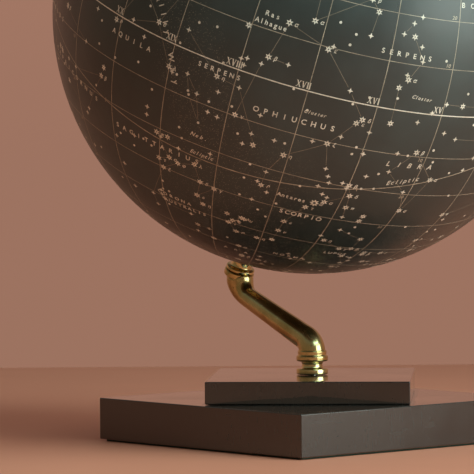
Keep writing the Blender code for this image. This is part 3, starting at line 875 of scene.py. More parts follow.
@dataclass
class Base:
    """The two lacquered plinths, drilled as the real ones are."""

    arris: float = 0.0006
    stud_hole: float = 0.0034
    recess: float = 0.0110
    recess_depth: float = 0.0090
    screw_offset: float = 0.0450
    screw_hole: float = 0.0023
    screw_head: float = 0.0043
    below: float = -0.02  # where the cutters start, well under the block
    above: float = 0.08

    def holes(self, low: float) -> list[bpy.types.Object]:
        """The stud's bore, the nut's recess and the four screw holes, as cutters."""
        bore = ring(0.0, self.stud_hole, self.below, self.above)
        recess = ring(0.0, self.recess, self.below, low + self.recess_depth)
        screw = [
            (0.0, self.below), (self.screw_head, self.below), (self.screw_head, low + 0.0016),
            (self.screw_hole, low + 0.0039), (self.screw_hole, low + 0.0270), (0.0, low + 0.0318),
        ]
        made = [
            turned("stud_bore_cutter", bore, LACQUER, 48),
            turned("recess_cutter", recess, LACQUER, 48),
        ]
        for number in range(4):
            angle = TURN * number / 4.0
            at = Vector((math.cos(angle), math.sin(angle), 0.0)) * self.screw_offset
            place = Matrix.Translation(at)
            made.append(turned(f"screw_cutter_{number}", screw, LACQUER, 48, place))
        return made

    def plinth(self, name: str, node: str, is_turned: bool) -> None:
        """Makes one square block with rounded arrises and its real holes.

        Args:
            name: the piece's name.
            node: the CAD node it stands for.
            is_turned: whether its sides lie at 45 degrees.
        """
        low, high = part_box(node)
        side = high.x - low.x
        if is_turned:
            side = round(side / math.sqrt(2.0) + 0.0003, 4)
        bm = bmesh.new()
        bmesh.ops.create_cube(bm, size=1.0)
        bmesh.ops.scale(bm, vec=(side, side, high.z - low.z), verts=bm.verts)
        edges = list(bm.edges)
        bmesh.ops.bevel(bm, geom=edges, offset=self.arris, segments=4, profile=0.5, affect="EDGES")
        turn = Matrix.Rotation(TURN / 8.0, 4, "Z") if is_turned else Matrix()
        lift = Matrix.Translation((0.0, 0.0, (low.z + high.z) / 2.0))
        made = object_of(name, mesh_of(bm, name, lift @ turn), LACQUER)
        cut(made, self.holes(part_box("lower_plinth")[0].z))
        true_flats(made, 60.0)
        settle(made, LACQUER, "stand", node)

    def build(self) -> None:
        """Builds both plinths."""
        self.plinth("plinth_lower_block", "lower_plinth", False)
        self.plinth("plinth_upper_block", "upper_plinth", True)


@dataclass
class Clamp:
    """What holds base, foot and arm together: stud, washer and nut."""

    stud_radius: float = 0.0030
    thread_depth: float = 0.00032
    thread_length: float = 0.0160
    pitch: float = 0.0010
    bore: float = 0.0034
    nut_flats: float = 0.0100
    chamfer: float = 0.0009

    def stud(self) -> None:
        """A stud with rolled thread ridges along its length."""
        low, high = (corner.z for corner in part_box("base_stud"))
        outline: Profile = [(0.0, low), (self.stud_radius - 0.0006, low)]
        height = low + 0.0006
        while height < low + self.thread_length:
            outline.append((self.stud_radius, height))
            outline.append((self.stud_radius - self.thread_depth, height + self.pitch / 2.0))
            height += self.pitch
        outline += [(self.stud_radius, height), (self.stud_radius, high - 0.0005)]
        outline += [(self.stud_radius - 0.0005, high), (0.0, high)]
        settle(turned("stud_threaded", outline, STEEL, 40), STEEL, "stand", "base_stud")

    def washer(self) -> None:
        """The flat washer over the nut."""
        low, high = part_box("stud_washer")
        outline = rounded(ring(self.bore, high.x, low.z, high.z), 0.0003)
        settle(turned("stud_washer_flat", outline, ZINC, 72), ZINC, "stand", "stud_washer")

    def nut(self) -> None:
        """A hexagon nut with chamfered corners."""
        low, high = (corner.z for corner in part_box("stud_nut"))
        corner = self.nut_flats / 2.0 / math.cos(math.pi / 6.0)
        reach = corner * 1.02
        face = corner * 0.88
        keep = [
            (self.bore, low), (face, low), (reach, low + self.chamfer),
            (reach, high - self.chamfer), (face, high), (self.bore, high),
        ]
        made = turned("stud_nut_hexagon", ring(0.0, corner, low, high), ZINC, 6)
        cut(made, [turned("nut_keep", keep, ZINC, 60)], "INTERSECT")
        smooth(made.data, 20.0)
        settle(made, ZINC, "stand", "stud_nut")

    def build(self) -> None:
        """Builds the clamp."""
        self.stud()
        self.washer()
        self.nut()


# ------------------------------------------------------------------ foot and arm


@dataclass
class FootSpool:
    """The turned ring and waisted neck between the upper plinth and the arm."""

    bore: float = 0.0034
    ring_height: float = 0.0035
    neck: float = 0.00605
    neck_end: float = 0.00690
    arris: float = 0.0009

    def build(self) -> None:
        """Builds the spool."""
        low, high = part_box("foot_spool")
        top = low.z + self.ring_height
        corners = ring(self.bore, high.x, low.z, top)
        corners[-1] = (self.neck_end + 0.0004, top)
        outline = rounded(corners, self.arris, closed=False)[1:-1]
        hollow = waist(self.neck, self.neck_end, top + 0.0002, high.z)
        outline = [(self.bore, low.z), *outline, *hollow, (self.bore, high.z)]
        made = turned("foot_spool_turned", outline, BRASS_TURNED, 128, sharp=40.0)
        settle(made, BRASS_TURNED, "stand", "foot_spool")


@dataclass
class Arm:
    """The cast S-arm, with a collar at its foot and a flange at its head."""

    collar_bottom: float = 0.0469
    bead_radius: float = 0.0093
    bead_height: float = 0.0032
    collar_top: float = 0.0534
    shoulder: float = 0.0086
    rise: float = 23.5
    lower_corner: float = 0.0580
    lower_bend: float = 0.0090
    upper_bend: float = 0.0145
    head_radius: float = 0.0090
    head_face: float = 0.1664  # distance below the globe's centre, along the axle
    head_flange: float = 0.0037
    head_offset: float = 0.0008
    head_clear: float = 0.0008
    run_steps: int = 24
    radii: tuple[float, float, float, float] = (0.0078, 0.0074, 0.0061, 0.0081)
    bore: float = 0.0033
    stud_bore: tuple[float, float] = (0.0400, 0.0565)

    def bend(
        self, corner: Vector, arrive: Vector, leave: Vector, radius: float, steps: int
    ) -> list[tuple[Vector, Vector]]:
        """Points and tangents round a corner, on an arc."""
        turn = arrive.angle(leave)
        side = (leave - arrive * leave.dot(arrive)).normalized()
        centre = corner - arrive * radius * math.tan(turn / 2.0) + side * radius
        made = []
        for i in range(steps + 1):
            angle = turn * i / steps
            point = centre + (arrive * math.sin(angle) - side * math.cos(angle)) * radius
            made.append((point, arrive * math.cos(angle) + side * math.sin(angle)))
        return made

    def stations(self) -> list[tuple[Vector, Vector, float]]:
        """Points, tangents and radii from the foot to the head."""
        at_foot, after_bend, at_neck, at_head = self.radii
        up = Vector((0.0, 0.0, 1.0))
        slope = math.radians(180.0 - self.rise)
        run = Vector((math.cos(slope), 0.0, math.sin(slope)))
        axle = SKY.pole
        corner = Vector((0.0, 0.0, self.lower_corner))
        across = run.x * axle.z - run.z * axle.x
        between = SKY.centre - corner
        high_corner = corner + run * ((between.x * axle.z - between.z * axle.x) / across)
        low = self.bend(corner, up, run, self.lower_bend, 28)
        high = self.bend(high_corner, run, axle, self.upper_bend, 40)
        clear = self.head_face + self.head_flange + self.head_clear
        high = [item for item in high if (SKY.centre - item[0]).dot(axle) > clear]
        inward = run.cross(LEVEL)
        inward = (inward - axle * inward.dot(axle)).normalized()
        seat = self.head_face + self.head_flange / 2.0
        high.append((SKY.centre - axle * seat + inward * self.head_offset, axle))
        made = [(Vector((0.0, 0.0, self.collar_bottom + self.bead_height)), up, at_foot)]
        for i, (point, tangent) in enumerate(low):
            made.append((point, tangent, ease(at_foot, after_bend, i / (len(low) - 1))))
        for i in range(1, self.run_steps):
            share = i / self.run_steps
            radius = after_bend + (at_neck - after_bend) * share
            made.append((low[-1][0].lerp(high[0][0], share), run, radius))
        for i, (point, tangent) in enumerate(high):
            made.append((point, tangent, ease(at_neck, at_head, i / (len(high) - 1))))
        return made

    def build(self) -> None:
        """Builds the arm as one casting with its two bores."""
        bm = bmesh.new()
        swept(bm, self.stations(), 96)
        made = object_of("arm_cast", mesh_of(bm, "arm_cast"), BRASS_CAST)
        bottom = self.collar_bottom
        bead = bottom + self.bead_height
        collar = [
            (0.0, bottom), (self.bead_radius, bottom), (self.bead_radius, bead),
            (self.shoulder - 0.0003, bead + 0.0004), (self.shoulder, self.collar_top),
            (0.0, self.collar_top),
        ]
        face = -self.head_face
        lean = SKY.matrix()
        flange = ring(0.0, self.head_radius, face - self.head_flange, face)
        foot = turned("arm_collar", rounded(collar, 0.0011, 6), BRASS_CAST, 96)
        head = turned("arm_flange", rounded(flange, 0.0009, 6), BRASS_CAST, 96, lean)
        cut(made, [foot, head], "UNION")
        stud = ring(0.0, self.bore, self.stud_bore[0], self.stud_bore[1])
        rod = ring(0.0, self.bore, face - 0.010, face + 0.005)
        low_bore = turned("arm_stud_bore", stud, BRASS_CAST, 48)
        high_bore = turned("arm_axle_bore", rod, BRASS_CAST, 48, lean)
        cut(made, [low_bore, high_bore])
        smooth(made.data, 35.0)
        settle(made, BRASS_CAST, "stand", "s_arm")


# ------------------------------------------------------------------ axle fittings


@dataclass
class AxleFittings:
    """The turned pieces on the axle. Heights are along the axle from the globe's centre."""

    bore: float = 0.0033
    bush_face: float = 0.1538
    bush_flange: float = 0.0100
    bush_tube: float = 0.0050
    bush_end: float = 0.1330
    flange_seat: float = 0.1526
    spool_top: float = 0.1554
    spool_length: float = 0.0107
    spool_ring: float = 0.0022
    spool_radius: float = 0.0086
    spool_neck: float = 0.0058
    thrust_radius: float = 0.0080
    spring_radius: float = 0.0072
    washer_radius: float = 0.0075
    finial_radius: float = 0.0066
    finial_height: float = 0.0110
    skirt_height: float = 0.0030
    play: float = 0.0003
    spring_height: float = 0.0017
    washer_height: float = 0.0008

    def fit(self, name: str, outline: Profile, finish: Finish, body: str, node: str) -> None:
        """Makes one turned piece on the axle's line."""
        settle(turned(name, outline, finish, 112, SKY.matrix(), 38.0), finish, body, node)

    def spool(self) -> None:
        """The spacer between the arm's head and the globe."""
        top = -self.spool_top
        bottom = top - self.spool_length
        neck = self.spool_neck
        neck_end = neck + 0.0010
        ends = []
        for face, inward in ((bottom, 1.0), (top, -1.0)):
            corner = face + self.spool_ring * inward
            wide = self.spool_radius
            corners = [(self.bore, face), (wide, face), (wide, corner), (neck_end, corner)]
            ends.append(rounded(corners[:: int(inward)], 0.0007, closed=False)[1:-1])
        margin = self.spool_ring + 0.0002
        hollow = waist(neck, neck_end, bottom + margin, top - margin)
        outline = [(self.bore, bottom), *ends[0], *hollow, *ends[1], (self.bore, top)]
        self.fit("axle_spool_turned", outline, BRASS_TURNED, "stand", "axle_spool")

    def bush(self, name: str, node: str, side: float) -> None:
        """A flanged bush in a pole of the globe."""
        outline = [
            (self.bore, self.bush_end), (self.bush_tube, self.bush_end),
            (self.bush_tube, self.flange_seat), (self.bush_flange, self.flange_seat),
            (self.bush_flange, self.bush_face), (self.bore, self.bush_face),
        ]
        outline = [(r, h * side) for r, h in rounded(outline, 0.00045)]
        self.fit(name, outline, BRASS_TURNED, "globe", node)

    def washers(self) -> None:
        """The fibre thrust washer, and the spring and plain washers at the north end."""
        face = self.bush_face + self.play
        thrust = ring(self.bore, self.thrust_radius, -face - 0.001, -face)
        dish = [
            (self.bore, face + 0.0008), (self.spring_radius, face),
            (self.spring_radius, face + 0.0006), (self.bore, face + 0.0014),
        ]
        low = face + self.spring_height
        flat = ring(self.bore, self.washer_radius, low, low + self.washer_height)
        for name, outline, arris, finish, node in (
            ("thrust_washer_fibre", thrust, 0.00025, FIBRE, "thrust_washer"),
            ("spring_washer_dished", dish, 0.00015, STEEL, "spring_washer"),
            ("plain_washer_turned", flat, 0.00022, BRASS_TURNED, "plain_washer"),
        ):
            self.fit(name, rounded(outline, arris), finish, "stand", node)

    def finial(self) -> None:
        """The domed nut at the north end, with a fine bead at its skirt."""
        low = self.bush_face + 2.0 * self.play + self.spring_height + self.washer_height
        axle_end = low + self.finial_height * 0.6 + 0.0004
        skirt = low + self.skirt_height
        dome = self.finial_height - self.skirt_height
        wide = self.finial_radius
        crown = [
            ((wide - 0.0003) * math.cos(a), skirt + dome * math.sin(a))
            for a in (math.pi / 2.0 * i / 18 for i in range(18))
        ]
        outline = [
            (0.0, axle_end), (self.bore, axle_end), (self.bore, low), (wide - 0.0005, low),
            (wide, low + 0.0006), (wide, skirt - 0.0009), (wide - 0.0006, skirt - 0.0004),
            *crown, (0.0, low + self.finial_height),
        ]
        self.fit("finial_nut_domed", outline, BRASS_TURNED, "stand", "finial_nut")

    def build(self) -> None:
        """Builds every fitting."""
        self.spool()
        self.bush("pole_bush_north", "north_pole_bush", 1.0)
        self.bush("pole_bush_south", "south_pole_bush", -1.0)
        self.washers()
        self.finial()


# ------------------------------------------------------------------ the globe's skin


@dataclass
class Skin:
    """The printed paper: twelve gores and two round caps, each a thin curved sheet."""

    thickness: float = 0.00025
    edge: float = 70.0
    rows: int = 112
    columns: int = 24
    cap_steps: int = 18
    gap: float = 0.00003
    hole: float = 0.0053
    first: float = 213.6

    def shade(self, mesh: bpy.types.Mesh) -> None:
        """Gives the outer faces the sphere's own normals, so that seams don't show in the gloss."""
        normals: list[Vector] = [Vector()] * len(mesh.loops)
        limit = SKY.radius - 0.0001
        points = [v.co - SKY.centre for v in mesh.vertices]
        for face in mesh.polygons:
            outer = all(points[i].length > limit for i in face.vertices)
            outer = outer and face.normal.dot(points[face.vertices[0]]) > 0.5 * SKY.radius
            for loop in face.loop_indices:
                at = points[mesh.loops[loop].vertex_index]
                normals[loop] = at.normalized() if outer else face.normal.copy()
        mesh.normals_split_custom_set(normals)

    def gore(self, number: int) -> None:
        """Makes one gore, 30 degrees wide."""
        width = 30.0
        trim = math.degrees(self.gap / SKY.radius)
        bm = bmesh.new()
        grids = []
        for radius in (SKY.radius - self.thickness, SKY.radius):
            grid = []
            for i in range(self.rows + 1):
                up = math.radians(-self.edge + trim + (2.0 * self.edge - 2.0 * trim) * i / self.rows)
                inset = trim / math.cos(up)
                start = self.first + width * number + inset
                span = width - 2.0 * inset
                steps = [start + span * j / self.columns for j in range(self.columns + 1)]
                row = [sphere_point(math.radians(step), up, radius) for step in steps]
                grid.append([bm.verts.new(at) for at in row])
            grids.append(grid)
        low, high = grids
        for i in range(self.rows):
            for j in range(self.columns):
                for grid in grids:
                    bm.faces.new((grid[i][j], grid[i][j + 1], grid[i + 1][j + 1], grid[i + 1][j]))
            for j in (0, self.columns):
                bm.faces.new((low[i][j], low[i + 1][j], high[i + 1][j], high[i][j]))
        for j in range(self.columns):
            for i in (0, self.rows):
                bm.faces.new((low[i][j], low[i][j + 1], high[i][j + 1], high[i][j]))
        name = f"gore_paper_{number + 1:02d}"
        mesh = mesh_of(bm, name, SKY.matrix())
        self.shade(mesh)
        settle(object_of(name, mesh, SKY_PAPER), SKY_PAPER, "globe", f"gore_{number + 1:02d}")

    def cap(self, name: str, node: str, side: float) -> None:
        """Makes one polar cap, with a hole for the bush."""
        inner = SKY.radius - self.thickness
        start = math.radians(self.edge) + self.gap / SKY.radius
        stop = math.acos(self.hole / SKY.radius)
        angles = [start + (stop - start) * i / self.cap_steps for i in range(self.cap_steps + 1)]
        outside = [(SKY.radius * math.cos(a), SKY.radius * math.sin(a) * side) for a in angles]
        inside = [(inner * math.cos(a), inner * math.sin(a) * side) for a in reversed(angles)]
        made = turned(name, outside + inside, SKY_PAPER, 144, SKY.matrix())
        self.shade(made.data)
        settle(made, SKY_PAPER, "globe", node)

    def build(self) -> None:
        """Builds the gores and caps."""
        for number in range(12):
            self.gore(number)
        self.cap("map_cap_paper_north", "north_map_cap", 1.0)
        self.cap("map_cap_paper_south", "south_map_cap", -1.0)


# ------------------------------------------------------------------ the print


